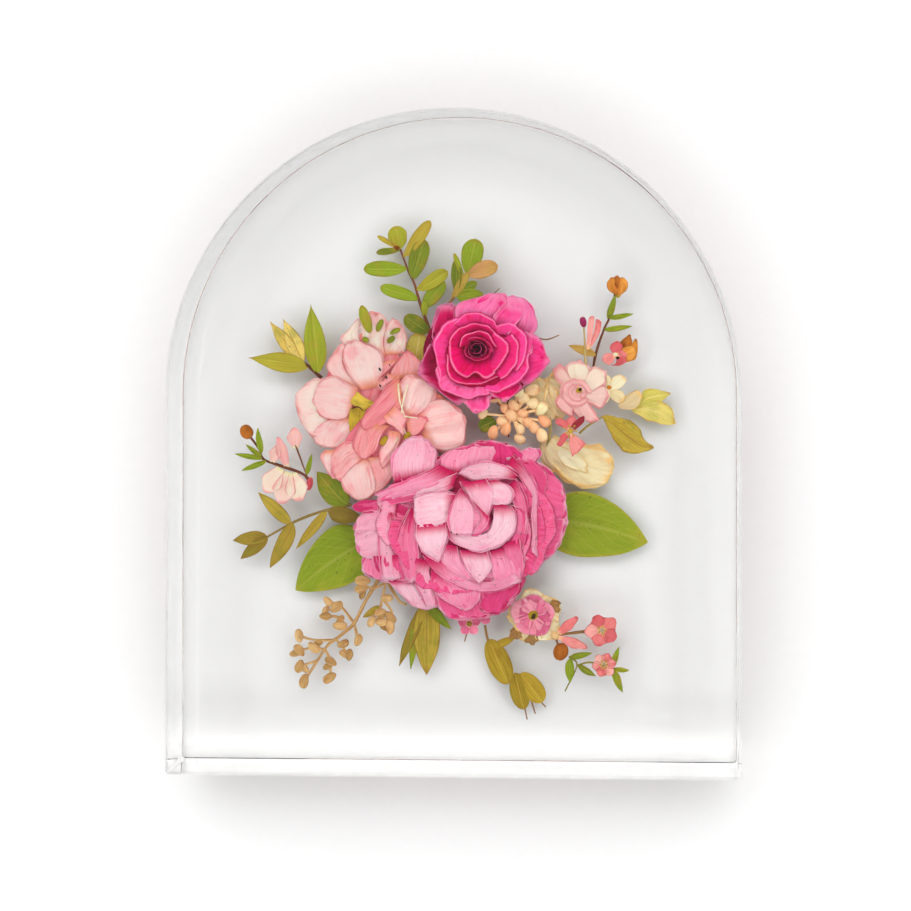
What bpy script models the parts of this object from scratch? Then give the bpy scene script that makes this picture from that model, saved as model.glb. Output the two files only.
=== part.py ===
"""An arch-topped block of clear resin with a dried bouquet sealed inside it.

Blender 4.5, metres, +Z up. The block lies on its back: X runs across it, Y up to the top of its arch and
Z out of its display face. The origin is at the middle of the block's back, on the surface it lies on.
The bouquet's sizes and places are in millimetres in that frame, and a height is a place along Z.
"""

from math import cos, pi, radians, sin

import bmesh
import bpy
from mathutils import Vector

MM = 0.001

# The block
WIDTH = 203.0
LENGTH = 235.0
THICKNESS = 35.0
ARCH_STEPS = 36
CORNER_ROUND = 1.5
CORNER_STEPS = 3
EDGE_ROUND = 1.2
EDGE_STEPS = 2
PARTING = 10.0
CLEARANCE = 0.3

# The pocket that holds the bouquet: its floor, the ceiling over leaves and the ceiling over the blooms
POCKET_FLOOR = 5.0
LEAF_CEILING = 19.5
BLOOM_CEILING = 31.5
LEAF_OUTLINE = (
    (-10, 83), (-25, 81), (-37, 70), (-40, 58), (-55, 54), (-70, 49), (-80, 34), (-84, 10), (-86, -12),
    (-86, -38), (-80, -50), (-65, -60), (-63, -90), (-48, -93), (-20, -91), (4, -90), (16, -103), (32, -103),
    (44, -95), (63, -95), (68, -84), (65, -62), (60, -48), (75, -42), (75, -34), (64, -18), (78, -4),
    (84, 6), (82, 22), (71, 28), (70, 46), (66, 63), (52, 63), (42, 50), (22, 64), (12, 78),
)
BLOOM_OUTLINE = (
    (-46, 50), (-62, 26), (-62, -1), (-50, -20), (-41, -28), (-40, -50), (-26, -64), (-8, -68), (26, -68),
    (45, -46), (46, -4), (50, 8), (40, 36), (32, 54), (4, 58), (-16, 48),
)

# Thickness of what is pressed, and how finely each shape is cut
LEAF_THICKNESS = 0.7
PETAL_THICKNESS = 0.9
STEM_RADIUS = 0.7
STAGGER = 0.12
EDGE_WIDTH = 0.9
BLADE_COLUMNS = 2
BLADE_ROWS = 4
SHELL_COLUMNS = 5
SHELL_ROWS = 2
FACES_KEPT = 0.5
HEART_HEIGHT = 1.5
CAPSULE_SIZE = (2.2, 1.9, 1.6)
BEAD_SIZE = (2.1, 1.9, 1.6)

# How a blade widens and narrows from base to tip: the powers of the distance from its base and from its tip
LEAF = (0.6, 0.9)
LANCE = (0.9, 1.3)
OVAL = (0.5, 0.45)
PETAL = (0.8, 0.35)
FAN = (1.1, 0.25)

# Heights of the bouquet's layers
LOWEST = 6.8
LOW = 9.0
MIDDLE = 11.2
UPPER = 13.6
FRONT = 16.6


def clear_scene():
    """Takes everything out of the open file."""
    for thing in list(bpy.data.objects):
        bpy.data.objects.remove(thing, do_unlink=True)


def new_collection(name):
    """A collection in the scene, new or emptied."""
    made = bpy.data.collections.get(name) or bpy.data.collections.new(name)
    if name not in bpy.context.scene.collection.children:
        bpy.context.scene.collection.children.link(made)
    return made


def finish(name, colour, roughness=0.6, alpha=1.0, transmission=0.0):
    """A Principled material with one colour."""
    made = bpy.data.materials.new(name)
    made.use_nodes = True
    shader = made.node_tree.nodes["Principled BSDF"]
    shader.inputs["Base Color"].default_value = (*colour, 1.0)
    shader.inputs["Roughness"].default_value = roughness
    shader.inputs["Metallic"].default_value = 0.0
    shader.inputs["Alpha"].default_value = alpha
    shader.inputs["Transmission Weight"].default_value = transmission
    made.diffuse_color = (*colour, alpha)
    return made


def add_object(name, bm, collection):
    """Makes an object of a bmesh given in millimetres."""
    bmesh.ops.scale(bm, vec=(MM, MM, MM), verts=bm.verts)
    bmesh.ops.recalc_face_normals(bm, faces=bm.faces)
    mesh = bpy.data.meshes.new(name)
    bm.to_mesh(mesh)
    bm.free()
    made = bpy.data.objects.new(name, mesh)
    collection.objects.link(made)
    return made


def swell(along, form):
    """Half of a blade's width at a share of its length, as a share of the widest."""
    rise, fall = form
    widest = rise / (rise + fall)
    peak = widest**rise * (1 - widest) ** fall
    return along**rise * (1 - along) ** fall / peak


def grid(columns, rows):
    """A flat grid, whose x runs from -1 to 1 and whose y runs from 0 to 1."""
    bm = bmesh.new()
    bmesh.ops.create_grid(bm, x_segments=columns, y_segments=rows, size=1.0)
    for vert in bm.verts:
        vert.co.y = (vert.co.y + 1) / 2
    return bm


def thicken(bm, thickness):
    """Gives an open surface its thickness."""
    bmesh.ops.solidify(bm, geom=bm.faces[:], thickness=thickness)


def blade(base, tip, width, height, form=LEAF, lift=0.5, cup=0.4, arch=0.5, bend=0.0, thick=LEAF_THICKNESS):
    """A leaf or petal from base to tip: lift raises its tip, cup its edges and arch its middle."""
    bm = grid(BLADE_COLUMNS, BLADE_ROWS)
    start, run = Vector(base), Vector(tip) - Vector(base)
    side = Vector((-run.y, run.x)).normalized()
    for vert in bm.verts:
        across, along = vert.co.x, vert.co.y
        half = max(width / 2 * swell(along, form), EDGE_WIDTH / 2)
        place = start + run * along + side * (across * half + bend * sin(pi * along))
        rise = lift * along + arch * sin(pi * along) + cup * across**2 * half * 2 / width
        vert.co = (place.x, place.y, height + rise)
    thicken(bm, thick)
    return add_object("blade", bm, PIECES)


def leaves(height, *rows, form=LEAF):
    """A sprig's leaves, each staggered in height so that no two lie in one plane."""
    return [
        blade(base, tip, width, height + STAGGER * (turn % 4), form)
        for turn, (base, tip, width) in enumerate(rows)
    ]


def shell(centre, radius, turn, span, foot, rim, flare=1.35):
    """A petal cupped round a centre, from its foot's height to its rim's. Angles are in degrees."""
    bm = grid(SHELL_COLUMNS, SHELL_ROWS)
    for vert in bm.verts:
        across, along = vert.co.x, vert.co.y
        angle = radians(turn + across * span / 2)
        reach = radius * (1 + (flare - 1) * (along - 1))
        height = foot + (rim - foot) * along * (1 - 0.2 * across**2)
        vert.co = (centre[0] + reach * cos(angle), centre[1] + reach * sin(angle), height)
    thicken(bm, PETAL_THICKNESS)
    return add_object("shell", bm, PIECES)


def bead(centre, height, size, fine=False):
    """An egg-shaped lump: size is its half-sizes along X, Y and Z."""
    bm = bmesh.new()
    segments, rings = (10, 6) if fine else (6, 4)
    bmesh.ops.create_uvsphere(bm, u_segments=segments, v_segments=rings, radius=1.0)
    bmesh.ops.scale(bm, vec=size, verts=bm.verts)
    bmesh.ops.translate(bm, vec=(*centre, height), verts=bm.verts)
    return add_object("bead", bm, PIECES)


def stem(points, height, radius=STEM_RADIUS):
    """A twig along points, as a filled tube made into a mesh."""
    curve = bpy.data.curves.new("stem", "CURVE")
    curve.dimensions = "3D"
    curve.bevel_depth = radius * MM
    curve.bevel_resolution = 1
    curve.use_fill_caps = True
    line = curve.splines.new("POLY")
    line.points.add(len(points) - 1)
    for point, (x, y) in zip(line.points, points):
        point.co = (x * MM, y * MM, height * MM, 1.0)
    drawn = bpy.data.objects.new("stem_curve", curve)
    PIECES.objects.link(drawn)
    bpy.context.view_layer.update()
    graph = bpy.context.evaluated_depsgraph_get()
    mesh = bpy.data.meshes.new_from_object(drawn.evaluated_get(graph))
    bm = bmesh.new()
    bm.from_mesh(mesh)
    bmesh.ops.remove_doubles(bm, verts=bm.verts, dist=0.00001)
    bmesh.ops.scale(bm, vec=(1 / MM, 1 / MM, 1 / MM), verts=bm.verts)
    bpy.data.objects.remove(drawn, do_unlink=True)
    return add_object("stem", bm, PIECES)


def blossom(centre, reach, count, width, height, turn=0.0, lift=0.8, form=PETAL, heart=1.8):
    """A ring of petals round a small heart."""
    made = [bead(centre, height - 0.1, (heart, heart, HEART_HEIGHT))]
    for step in range(count):
        angle = radians(turn) + 2 * pi * step / count
        outward = Vector((cos(angle), sin(angle)))
        base, tip = (Vector(centre) + outward * away for away in (heart / 2, reach))
        made.append(blade(base, tip, width, height + STAGGER * (step % 4), form, lift=lift))
    return made


def shells_apart(bm):
    """The separate closed shells of a mesh, as lists of faces."""
    left, found = set(bm.faces), []
    while left:
        shell_faces, edge_of_search = [], [left.pop()]
        while edge_of_search:
            face = edge_of_search.pop()
            shell_faces.append(face)
            for near in (f for e in face.edges for f in e.link_faces if f in left):
                left.discard(near)
                edge_of_search.append(near)
        found.append(shell_faces)
    return found


def enclosed(faces):
    """Six times the volume that a shell of faces holds, less than nothing where it faces inward."""
    total = 0.0
    for face in faces:
        corners = [vert.co for vert in face.verts]
        for second, third in zip(corners[1:], corners[2:]):
            total += corners[0].dot(second.cross(third))
    return total


def grow(name, material, pieces):
    """Joins a plant's pieces into one solid, and drops the hollows that they close off inside it."""
    flat = [piece for entry in pieces for piece in (entry if isinstance(entry, list) else [entry])]
    body, rest = flat[0], new_collection("joined_" + name)
    for piece in flat[1:]:
        PIECES.objects.unlink(piece)
        rest.objects.link(piece)
    if len(flat) > 1:
        union = body.modifiers.new("union", "BOOLEAN")
        union.operation = "UNION"
        union.solver = "EXACT"
        union.operand_type = "COLLECTION"
        union.collection = rest
    bpy.context.view_layer.update()
    graph = bpy.context.evaluated_depsgraph_get()
    mesh = bpy.data.meshes.new_from_object(body.evaluated_get(graph))
    bm = bmesh.new()
    bm.from_mesh(mesh)
    parts = sorted(shells_apart(bm), key=enclosed)
    inner = [face for part in parts[:-1] for face in part]
    bmesh.ops.delete(bm, geom=inner, context="FACES")
    bmesh.ops.dissolve_degenerate(bm, dist=0.000002, edges=bm.edges)
    bm.to_mesh(mesh)
    bm.free()
    mesh.name = name
    mesh.materials.clear()
    mesh.materials.append(material)
    made = bpy.data.objects.new(name, mesh)
    PLAQUE.objects.link(made)
    made.parent = BLOCK
    if len(flat) > 1:
        made.modifiers.new("fewer_faces", "DECIMATE").ratio = FACES_KEPT
    for piece in flat:
        bpy.data.objects.remove(piece, do_unlink=True)
    bpy.data.collections.remove(rest)
    return made


def arc(centre, radius, start, stop, steps):
    """Points along a round stretch, by angles in degrees."""
    angles = [radians(start + (stop - start) * step / steps) for step in range(steps + 1)]
    return [(centre[0] + radius * cos(a), centre[1] + radius * sin(a)) for a in angles]


def block_outline():
    """The block's outline, counter-clockwise from its lower right corner."""
    half, foot, round_ = WIDTH / 2, -LENGTH / 2, CORNER_ROUND
    spring = LENGTH / 2 - half
    right = arc((half - round_, foot + round_), round_, -90, 0, CORNER_STEPS)
    top = arc((0, spring), half, 0, 180, ARCH_STEPS)
    left = arc((-half + round_, foot + round_), round_, 180, 270, CORNER_STEPS)
    return right + top + left


def prism(name, outline, low, high, collection):
    """A flat outline raised from one height to another, by a filled curve made into a mesh."""
    curve = bpy.data.curves.new(name, "CURVE")
    curve.dimensions = "2D"
    curve.fill_mode = "BOTH"
    curve.extrude = (high - low) / 2 * MM
    line = curve.splines.new("POLY")
    line.points.add(len(outline) - 1)
    line.use_cyclic_u = True
    for point, (x, y) in zip(line.points, outline):
        point.co = (x * MM, y * MM, 0.0, 1.0)
    drawn = bpy.data.objects.new(name + "_curve", curve)
    drawn.location.z = (low + high) / 2 * MM
    collection.objects.link(drawn)
    bpy.context.view_layer.update()
    graph = bpy.context.evaluated_depsgraph_get()
    mesh = bpy.data.meshes.new_from_object(drawn.evaluated_get(graph))
    bm = bmesh.new()
    bm.from_mesh(mesh)
    bmesh.ops.transform(bm, matrix=drawn.matrix_world, verts=bm.verts)
    bmesh.ops.remove_doubles(bm, verts=bm.verts, dist=0.00001)
    bmesh.ops.dissolve_limit(bm, angle_limit=radians(0.5), verts=bm.verts, edges=bm.edges)
    bmesh.ops.scale(bm, vec=(1 / MM, 1 / MM, 1 / MM), verts=bm.verts)
    bpy.data.objects.remove(drawn, do_unlink=True)
    return add_object(name, bm, collection)


def round_face_edge(half, height):
    """Rounds the edge of the outer face that lies at a height."""
    bm = bmesh.new()
    bm.from_mesh(half.data)
    level = height * MM
    edge = [e for e in bm.edges if all(abs(v.co.z - level) < 0.00001 for v in e.verts)]
    bmesh.ops.bevel(bm, geom=edge, offset=EDGE_ROUND * MM, segments=EDGE_STEPS, profile=0.5, affect="EDGES")
    bm.to_mesh(half.data)
    bm.free()


def cut(solid, cutter):
    """Takes a cutter's shape out of a solid."""
    take = solid.modifiers.new("pocket", "BOOLEAN")
    take.operation = "DIFFERENCE"
    take.solver = "EXACT"
    take.object = cutter


def hide_cutter(cutter):
    """Leaves a cutter out of renders and draws it as wires."""
    cutter.hide_render = True
    cutter.display_type = "WIRE"


def resin():
    """The clear block in two halves, with the pocket cut into both."""
    clear = finish("clear_resin", (0.93, 0.94, 0.93), 0.03, alpha=0.35, transmission=1.0)
    floor_pocket = prism("cutter_leaves", LEAF_OUTLINE, POCKET_FLOOR, LEAF_CEILING, CUTTERS)
    bloom_pocket = prism("cutter_blooms", BLOOM_OUTLINE, PARTING, BLOOM_CEILING, CUTTERS)
    outline = block_outline()
    back = prism("resin_back", outline, 0.0, PARTING - CLEARANCE / 2, PLAQUE)
    front = prism("resin_front", outline, PARTING + CLEARANCE / 2, THICKNESS, PLAQUE)
    round_face_edge(back, 0.0)
    round_face_edge(front, THICKNESS)
    for cutter in (floor_pocket, bloom_pocket):
        hide_cutter(cutter)
        cut(front, cutter)
    cut(back, floor_pocket)
    for half in (back, front):
        half.data.materials.append(clear)
        half.parent = BLOCK


def peony():
    """The large wrinkled pink bloom, lower middle: a domed heart, outer petals and cupped inner ones."""
    pink = finish("peony_pink", (0.80, 0.21, 0.42))
    ring = {"form": PETAL, "thick": PETAL_THICKNESS}
    grow("peony", pink, [
        bead((6, -29), 24.0, (15, 14, 4.5), fine=True),
        bead((5.8, -25.8), 26.5, (7.3, 6.8, 4.0), fine=True),
        blade((14, -24), (40, -25), 35, 21.8, lift=0.5, cup=1.5, **ring),
        blade((9, -19), (10.5, -0.5), 28, 22.2, lift=1.0, cup=1.0, **ring),
        blade((-1, -20), (-28, -12), 12, 23.6, lift=0.6, cup=0.8, bend=-3.0, **ring),
        blade((-3, -20), (-17, 1.8), 14, 22.4, lift=0.2, cup=0.8, **ring),
        blade((-4, -32), (-35, -38), 23, 21.9, lift=-1.5, cup=1.2, **ring),
        blade((-2, -36), (-25, -45), 14, 23.2, lift=0.0, cup=0.8, **ring),
        blade((0, -38), (-20, -60), 16, 21.7, lift=-2.0, cup=0.8, **ring),
        blade((8, -38), (9, -63.5), 29, 21.8, lift=-2.5, cup=1.2, **ring),
        blade((15, -19), (27, -4.5), 20, 21.4, lift=0.4, cup=1.0, **ring),
        blade((14, -33), (32, -49), 24, 22.3, lift=-1.2, cup=1.0, **ring),
        blade((-4, -26), (-31, -24), 17, 22.6, lift=-0.4, cup=0.8, **ring),
        blade((6, -36), (6, -52.4), 34, 24.0, lift=0.6, cup=1.6, **ring),
        blade((2, -25), (-13.7, -25), 13, 25.6, lift=1.4, cup=0.5, **ring),
        shell((8, -29), 13.5, -8, 100, 24.0, 29.6),
        shell((6, -27), 10.5, 270, 90, 24.5, 28.6),
        shell((10, -24), 16.0, 88, 70, 24.0, 28.8),
        shell((9, -25), 11.0, 84, 80, 24.5, 30.0),
        shell((12, -31), 17.5, -12, 70, 23.5, 27.6),
        shell((4, -30), 15.5, 205, 60, 24.0, 28.2),
    ])


def rose():
    """The hot pink rose above the middle: rings of cupped petals in a spread of open ones."""
    magenta = finish("rose_magenta", (0.72, 0.03, 0.25))
    ring = {"form": PETAL, "thick": PETAL_THICKNESS, "cup": 1.0, "lift": 0.4}
    centre = (9, 32.7)
    grow("rose", magenta, [
        bead(centre, 22.6, (10, 9.5, 3.2), fine=True),
        blade((9, 34), (9, 51.7), 24, 21.4, **ring),
        blade((12, 35), (27, 47), 19, 21.9, **ring),
        blade((13, 32), (33.7, 28.4), 21, 21.3, **ring),
        blade((12, 29), (27, 17), 18, 21.8, **ring),
        blade((9, 29), (9.2, 11.2), 18, 21.2, **ring),
        blade((5, 29), (-6, 16.5), 18, 21.9, **ring),
        blade((5, 33), (-12.3, 31), 21, 21.3, **ring),
        blade((6, 36), (-8, 47), 18, 21.8, **ring),
        shell(centre, 3.0, 100, 250, 23.5, 29.4, flare=1.1),
        shell(centre, 5.4, 330, 170, 23.0, 29.0, flare=1.2),
        shell(centre, 5.8, 165, 160, 23.0, 28.6, flare=1.2),
        shell(centre, 8.8, 60, 110, 22.5, 27.8),
        shell(centre, 9.0, 185, 120, 22.5, 27.6),
        shell(centre, 8.6, 305, 110, 22.5, 27.8),
    ])


def blush_bloom_upper():
    """The upper pale bloom at the left: thin round petals about an olive throat."""
    blush = finish("blush_upper", (0.87, 0.62, 0.55))
    grow("blush_bloom_upper", blush, [
        bead((-34.5, 11.5), UPPER + 0.6, (5.5, 6.5, 1.5), fine=True),
        blade((-34, 15), (-29.5, 46), 23, UPPER - 0.4, PETAL),
        blade((-34, 15), (-33.5, 34.2), 14.4, UPPER + 0.5, OVAL),
        blade((-36, 12), (-52, 16), 17, UPPER + 0.4, OVAL),
        blade((-37, 11), (-58.2, 11.5), 21, UPPER - 0.5, PETAL),
        blade((-36, 9), (-49, -2.2), 18, UPPER, PETAL),
        blade((-31, 15), (-12.5, 29), 8, UPPER + 0.6, OVAL),
        blade((-34, 7), (-20.5, 22), 7, UPPER + 1.0, OVAL, lift=0.2),
    ])


def blush_bloom_lower():
    """The lower pale bloom: a veined fan, folded petals and a small rosette at its right."""
    blush = finish("blush_lower", (0.88, 0.58, 0.50))
    grow("blush_bloom_lower", blush, [
        bead((-22, 2.5), FRONT + 0.9, (5.0, 5.2, 1.6), fine=True),
        blade((-20, 5), (-10, 23), 13, FRONT, PETAL),
        blade((-19, 3), (3, 6.2), 18, FRONT + 0.3, OVAL),
        blade((-24, 2), (-36, -1), 11, FRONT + 0.7, OVAL),
        blade((-23, 5), (-30, 17), 9, FRONT - 0.2, OVAL),
        blade((-20, 0), (-10, -10), 13, FRONT + 0.1, OVAL),
        blade((-23, 0), (-33.5, -21), 22, FRONT + 0.2, FAN),
        blade((-25, -1), (-47, -9), 7, FRONT - 0.1, LANCE),
        shell((-5.1, 6.1), 5.4, 100, 160, FRONT + 0.4, FRONT + 3.2, flare=1.2),
        shell((-5.1, 6.1), 5.2, 290, 150, FRONT + 0.4, FRONT + 3.4, flare=1.2),
    ])


def large_leaves():
    """The flat leaves that lie behind the blooms."""
    green = finish("leaf_green", (0.17, 0.27, 0.035))
    olive = finish("leaf_olive", (0.37, 0.33, 0.10))
    yellow = finish("leaf_yellow_green", (0.50, 0.58, 0.16))
    grow("leaf_big_left", green, [blade((-30, -36), (-58.9, -54.9), 21, LOWEST, LEAF, bend=-1.0)])
    grow("leaf_big_right", green, [
        blade((30, -30), (69.2, -36.9), 24, LOWEST, LEAF, bend=1.5),
    ])
    grow("leaf_bottom_pair", olive, [
        stem([(-11, -57), (-12, -61)], LOW),
        *leaves(LOW, ((-12, -60), (-20.5, -82), 4.2), ((-11, -59), (-10.8, -85), 10.0),
                ((-11, -59), (-1.9, -68.5), 3.6)),
    ])
    grow("leaf_yellow_behind", yellow, [blade((-15, 26), (-13.5, 38.8), 8, LOW, OVAL)])


def sprig_top_left():
    """The tall olive sprig at the upper left."""
    olive = finish("sprig_olive", (0.30, 0.32, 0.06))
    grow("sprig_top_left", olive, [
        stem([(-20.2, 68.9), (-17.3, 61), (-15.2, 56.7), (-13, 49.2), (-10.8, 43.1), (-9.1, 37.7)], MIDDLE),
        bead((-21.6, 69.3), MIDDLE, (1.5, 1.5, 1.0)),
        *leaves(
            MIDDLE,
            ((-20.2, 68.9), (-22, 77.2), 6.8), ((-20.8, 69.2), (-28.4, 73.6), 1.8),
            ((-20.2, 68.5), (-28.8, 67.5), 2.5), ((-19, 66), (-9.1, 79), 4.7),
            ((-15.6, 57.8), (-11.6, 72.5), 6.8), ((-17.6, 61.8), (-33.5, 61.8), 5.7),
            ((-13.6, 50.6), (-27.4, 55.3), 5.0), ((-14.2, 54.2), (-3, 61), 5.4),
            ((-12.4, 47.3), (-4, 57.1), 5.7), ((-11.2, 44), (-11.6, 50.3), 2.5),
            ((-9.5, 38.6), (-18.4, 44.9), 6.1),
        ),
    ])


def sprig_top_centre():
    """The bright sprig over the rose."""
    green = finish("sprig_bright", (0.20, 0.36, 0.03))
    grow("sprig_top_centre", green, [
        stem([(-3, 48.5), (0.6, 53.1), (4.5, 60)], UPPER),
        *leaves(
            UPPER,
            ((4.4, 59.6), (7.1, 72.5), 7.9), ((4.2, 59.2), (15.3, 62.8), 6.1),
            ((0.2, 52.8), (0.6, 65), 3.9), ((3, 57.5), (-0.8, 67.1), 1.8),
            ((-1.5, 50.7), (4.6, 60.7), 3.2), ((0.8, 53.6), (7.8, 56.7), 3.2),
            ((0, 52.3), (10.2, 51), 6.0),
        ),
    ])


def sprig_left_pointed():
    """The sprig of pointed tan leaves at the left."""
    tan = finish("leaf_tan", (0.52, 0.42, 0.14))
    grow("sprig_left_pointed", tan, [
        stem([(-48.9, 22.3), (-54.6, 27.3), (-60.7, 31.6)], MIDDLE - 0.6),
        *leaves(
            MIDDLE - 0.6,
            ((-53.5, 26.2), (-75.4, 29.1), 7.2), ((-57.4, 29.2), (-67.5, 43.1), 5.0),
            ((-55.4, 27.9), (-63.2, 43.5), 6.1), ((-50.4, 23.6), (-52.5, 48.8), 8.3),
            form=LANCE,
        ),
    ])


def sprig_left_buds():
    """The small twig of buds and waxy petals at the far left."""
    bronze = finish("bud_bronze", (0.50, 0.22, 0.10))
    level = FRONT - 0.6
    grow("sprig_left_buds", bronze, [
        stem([(-75.4, 2.9), (-71, -3), (-69.3, -6.8), (-65, -8.6), (-55.7, -11.8), (-52.6, -14.5)], level),
        stem([(-57.9, -1), (-53.2, -13.6)], level + 0.1),
        bead((-75.4, 2.9), level, (2.8, 2.8, 1.8)),
        bead((-52.5, -15.5), level, (1.3, 2.8, 1.2)),
        *leaves(
            level,
            ((-69.3, -6.8), (-79.4, -5), 1.8), ((-69.8, -6), (-75.4, -1.6), 1.8),
            ((-70, -4.9), (-71.2, 4.3), 2.2), ((-68.2, -7.4), (-76.9, -11.1), 2.0),
            ((-53.6, -12.4), (-51.6, -5), 1.8),
        ),
        blade((-66, -8.2), (-64, -2), 4.4, level + 0.2, PETAL),
        blade((-60.5, -10.2), (-64, 1.1), 4.2, level + 0.1, PETAL),
        blade((-57.6, -3), (-58, 4.6), 5.6, level + 0.2, OVAL),
        blade((-64, -9), (-66.8, -21), 6.5, level - 0.1, OVAL),
        blade((-58.5, -10.8), (-57, -23), 6.5, level + 0.1, OVAL),
    ])


def sprig_left_olive():
    """The olive twig at the lower left."""
    olive = finish("sprig_left_olive", (0.31, 0.31, 0.08))
    grow("sprig_left_olive", olive, [
        stem([(-69, -35.5), (-59.3, -30.1), (-50.3, -26.5), (-38, -23.4)], MIDDLE),
        *leaves(
            MIDDLE,
            ((-60.1, -30.5), (-71.8, -19.3), 4.7), ((-68.6, -35.2), (-80.8, -36.9), 5.2),
            ((-68.4, -35.2), (-78.3, -43), 4.6), ((-59.2, -30.1), (-67.5, -46.3), 5.7),
            ((-46.8, -25.6), (-57.9, -39.4), 3.6), ((-46.5, -25.5), (-33.8, -28.8), 6.0),
            ((-39.4, -23.7), (-50.3, -11.5), 9.0),
        ),
    ])


def capsules(height, places):
    """Small seed capsules, staggered in height."""
    return [bead(place, height + STAGGER * (turn % 3), CAPSULE_SIZE) for turn, place in enumerate(places)]


def seed_heads():
    """The two dried seed heads at the lower left."""
    straw = finish("seed_straw", (0.53, 0.34, 0.13))
    level = MIDDLE - 0.2
    grow("seed_sprig", straw, [
        stem([(-27.4, -49.5), (-32.7, -58.1), (-37, -66.4), (-41.7, -70.7), (-46.7, -74.6), (-50.3, -80),
              (-54.8, -87)], level),
        stem([(-37, -66.4), (-41.7, -60.5), (-46.4, -58.5)], level + 0.1),
        stem([(-39.5, -68.7), (-42.4, -64.5), (-47.4, -63.8)], level - 0.1),
        stem([(-44.2, -72.6), (-51.8, -72.5), (-57.1, -71.0)], level + 0.1),
        stem([(-47.6, -75.9), (-52.5, -75.4), (-57, -76.6)], level - 0.1),
        stem([(-37, -66.4), (-36.1, -70), (-35.6, -72.5)], level),
        stem([(-43.6, -72.1), (-38.9, -77.8)], level + 0.1),
        stem([(-47.6, -75.9), (-45.7, -80), (-45.7, -86)], level - 0.1),
        stem([(-50.3, -80), (-56.8, -82.1)], level + 0.1),
        *capsules(level, (
            (-46.4, -58.5), (-47.4, -63.8), (-57.1, -71.2), (-57, -76.4), (-41, -73.8), (-38.8, -77.8),
            (-35.6, -72.5), (-45.4, -80.4), (-45.7, -86.2), (-56.8, -82.1), (-55, -87.4), (-51.4, -75.2),
        )),
    ])
    level = UPPER + 0.2
    grow("seed_cluster", straw, [
        stem([(-24.6, -47), (-25.6, -53), (-27.4, -61.7), (-28.6, -65.6)], level),
        stem([(-26.4, -57), (-23, -62), (-23.4, -67)], level + 0.1),
        stem([(-25.2, -50.2), (-20.5, -57.7), (-17.7, -59.2)], level - 0.1, radius=0.5),
        stem([(-25.4, -51.4), (-30, -53.5), (-34, -51.4)], level + 0.1),
        *capsules(level, (
            (-33.5, -50.8), (-34.0, -53.6), (-24.8, -56.7), (-27.4, -62), (-30.2, -65.4), (-26.6, -65.6),
            (-23.4, -63.8), (-23.8, -67.4),
        )),
        blade((-27.2, -60), (-33.5, -63.6), 2.6, level),
    ])


def lower_right_flowers():
    """The small flowers and pods under the peony's right."""
    pink = finish("small_pink", (0.66, 0.23, 0.36))
    mauve = finish("anemone_mauve", (0.70, 0.24, 0.37))
    pod = finish("pod_olive", (0.30, 0.26, 0.07))
    coral = finish("trumpet_coral", (0.66, 0.18, 0.16))
    shell_pink = finish("blossom_pink", (0.74, 0.29, 0.25))
    grow("flower_small_pink", pink, [
        *blossom((4.8, -66.2), 4.4, 5, 3.6, MIDDLE + 0.2, turn=20),
        stem([(4.8, -66.2), (3.1, -72.8)], MIDDLE),
        stem([(4.8, -66.2), (10.2, -64.9)], MIDDLE),
        bead((10.7, -64.9), MIDDLE, (1.8, 1.6, 1.2)),
    ])
    grow("pod_sprig", pod, [
        stem([(10.3, -67.1), (11.8, -73.5), (16, -80), (21, -86)], LOW - 0.2),
        blade((11.8, -72.5), (18.9, -87.5), 8.6, LOW),
        blade((18.6, -83), (22.5, -96.4), 7.2, LOW - 0.3, OVAL),
        blade((19.4, -84), (32.9, -95.8), 9.5, LOW + 0.3),
        blade((13.0, -75), (21.8, -71.5), 2.9, LOW - 0.3),
        stem([(23.8, -92), (25.6, -101)], LOW - 0.2, radius=0.5),
        stem([(26.6, -92.5), (28.6, -99)], LOW - 0.1, radius=0.5),
    ])
    grow("anemone", mauve, [
        *blossom((27.9, -62.8), 8.4, 6, 7.6, UPPER - 0.8, turn=15, heart=2.2),
        *blossom((28.4, -63.4), 10.2, 7, 5.0, UPPER - 1.5, turn=0, heart=2.0),
    ])
    level = FRONT
    grow("trumpet_sprig", coral, [
        stem([(35.8, -69.6), (42, -68.7), (49.5, -67.8)], level),
        stem([(35.8, -69.6), (37.2, -73.6)], level),
        bead((35.8, -69.6), level, (1.7, 1.7, 1.4)),
        bead((38, -75.3), level, (3.2, 3.2, 2.0)),
        blade((36.6, -69.4), (44.1, -62.8), 3.6, level, PETAL),
        blade((36.6, -70), (47.6, -73.9), 3.6, level + 0.1, PETAL),
        *blossom((52.6, -67.6), 6.4, 5, 5.6, level, turn=40),
    ])
    level = UPPER
    grow("blossom_sprig", shell_pink, [
        stem([(40.8, -77.5), (43.7, -80.7), (39.4, -90)], level, radius=0.6),
        stem([(43.7, -80.7), (49, -79.6), (57, -82.1)], level),
        *blossom((53.4, -80.2), 4.6, 6, 3.8, level + 0.3, turn=10),
        *leaves(
            level,
            ((41.2, -77.9), (49.1, -76.2), 2.2), ((41.4, -78.2), (41.2, -86.8), 3.2),
            ((44, -80.7), (50.5, -84), 2.3), ((56.6, -82), (62.4, -82.1), 1.8),
            ((56.6, -82), (60.2, -90), 2.7), ((56, -81.6), (58.8, -74), 2.2),
        ),
    ])


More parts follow.
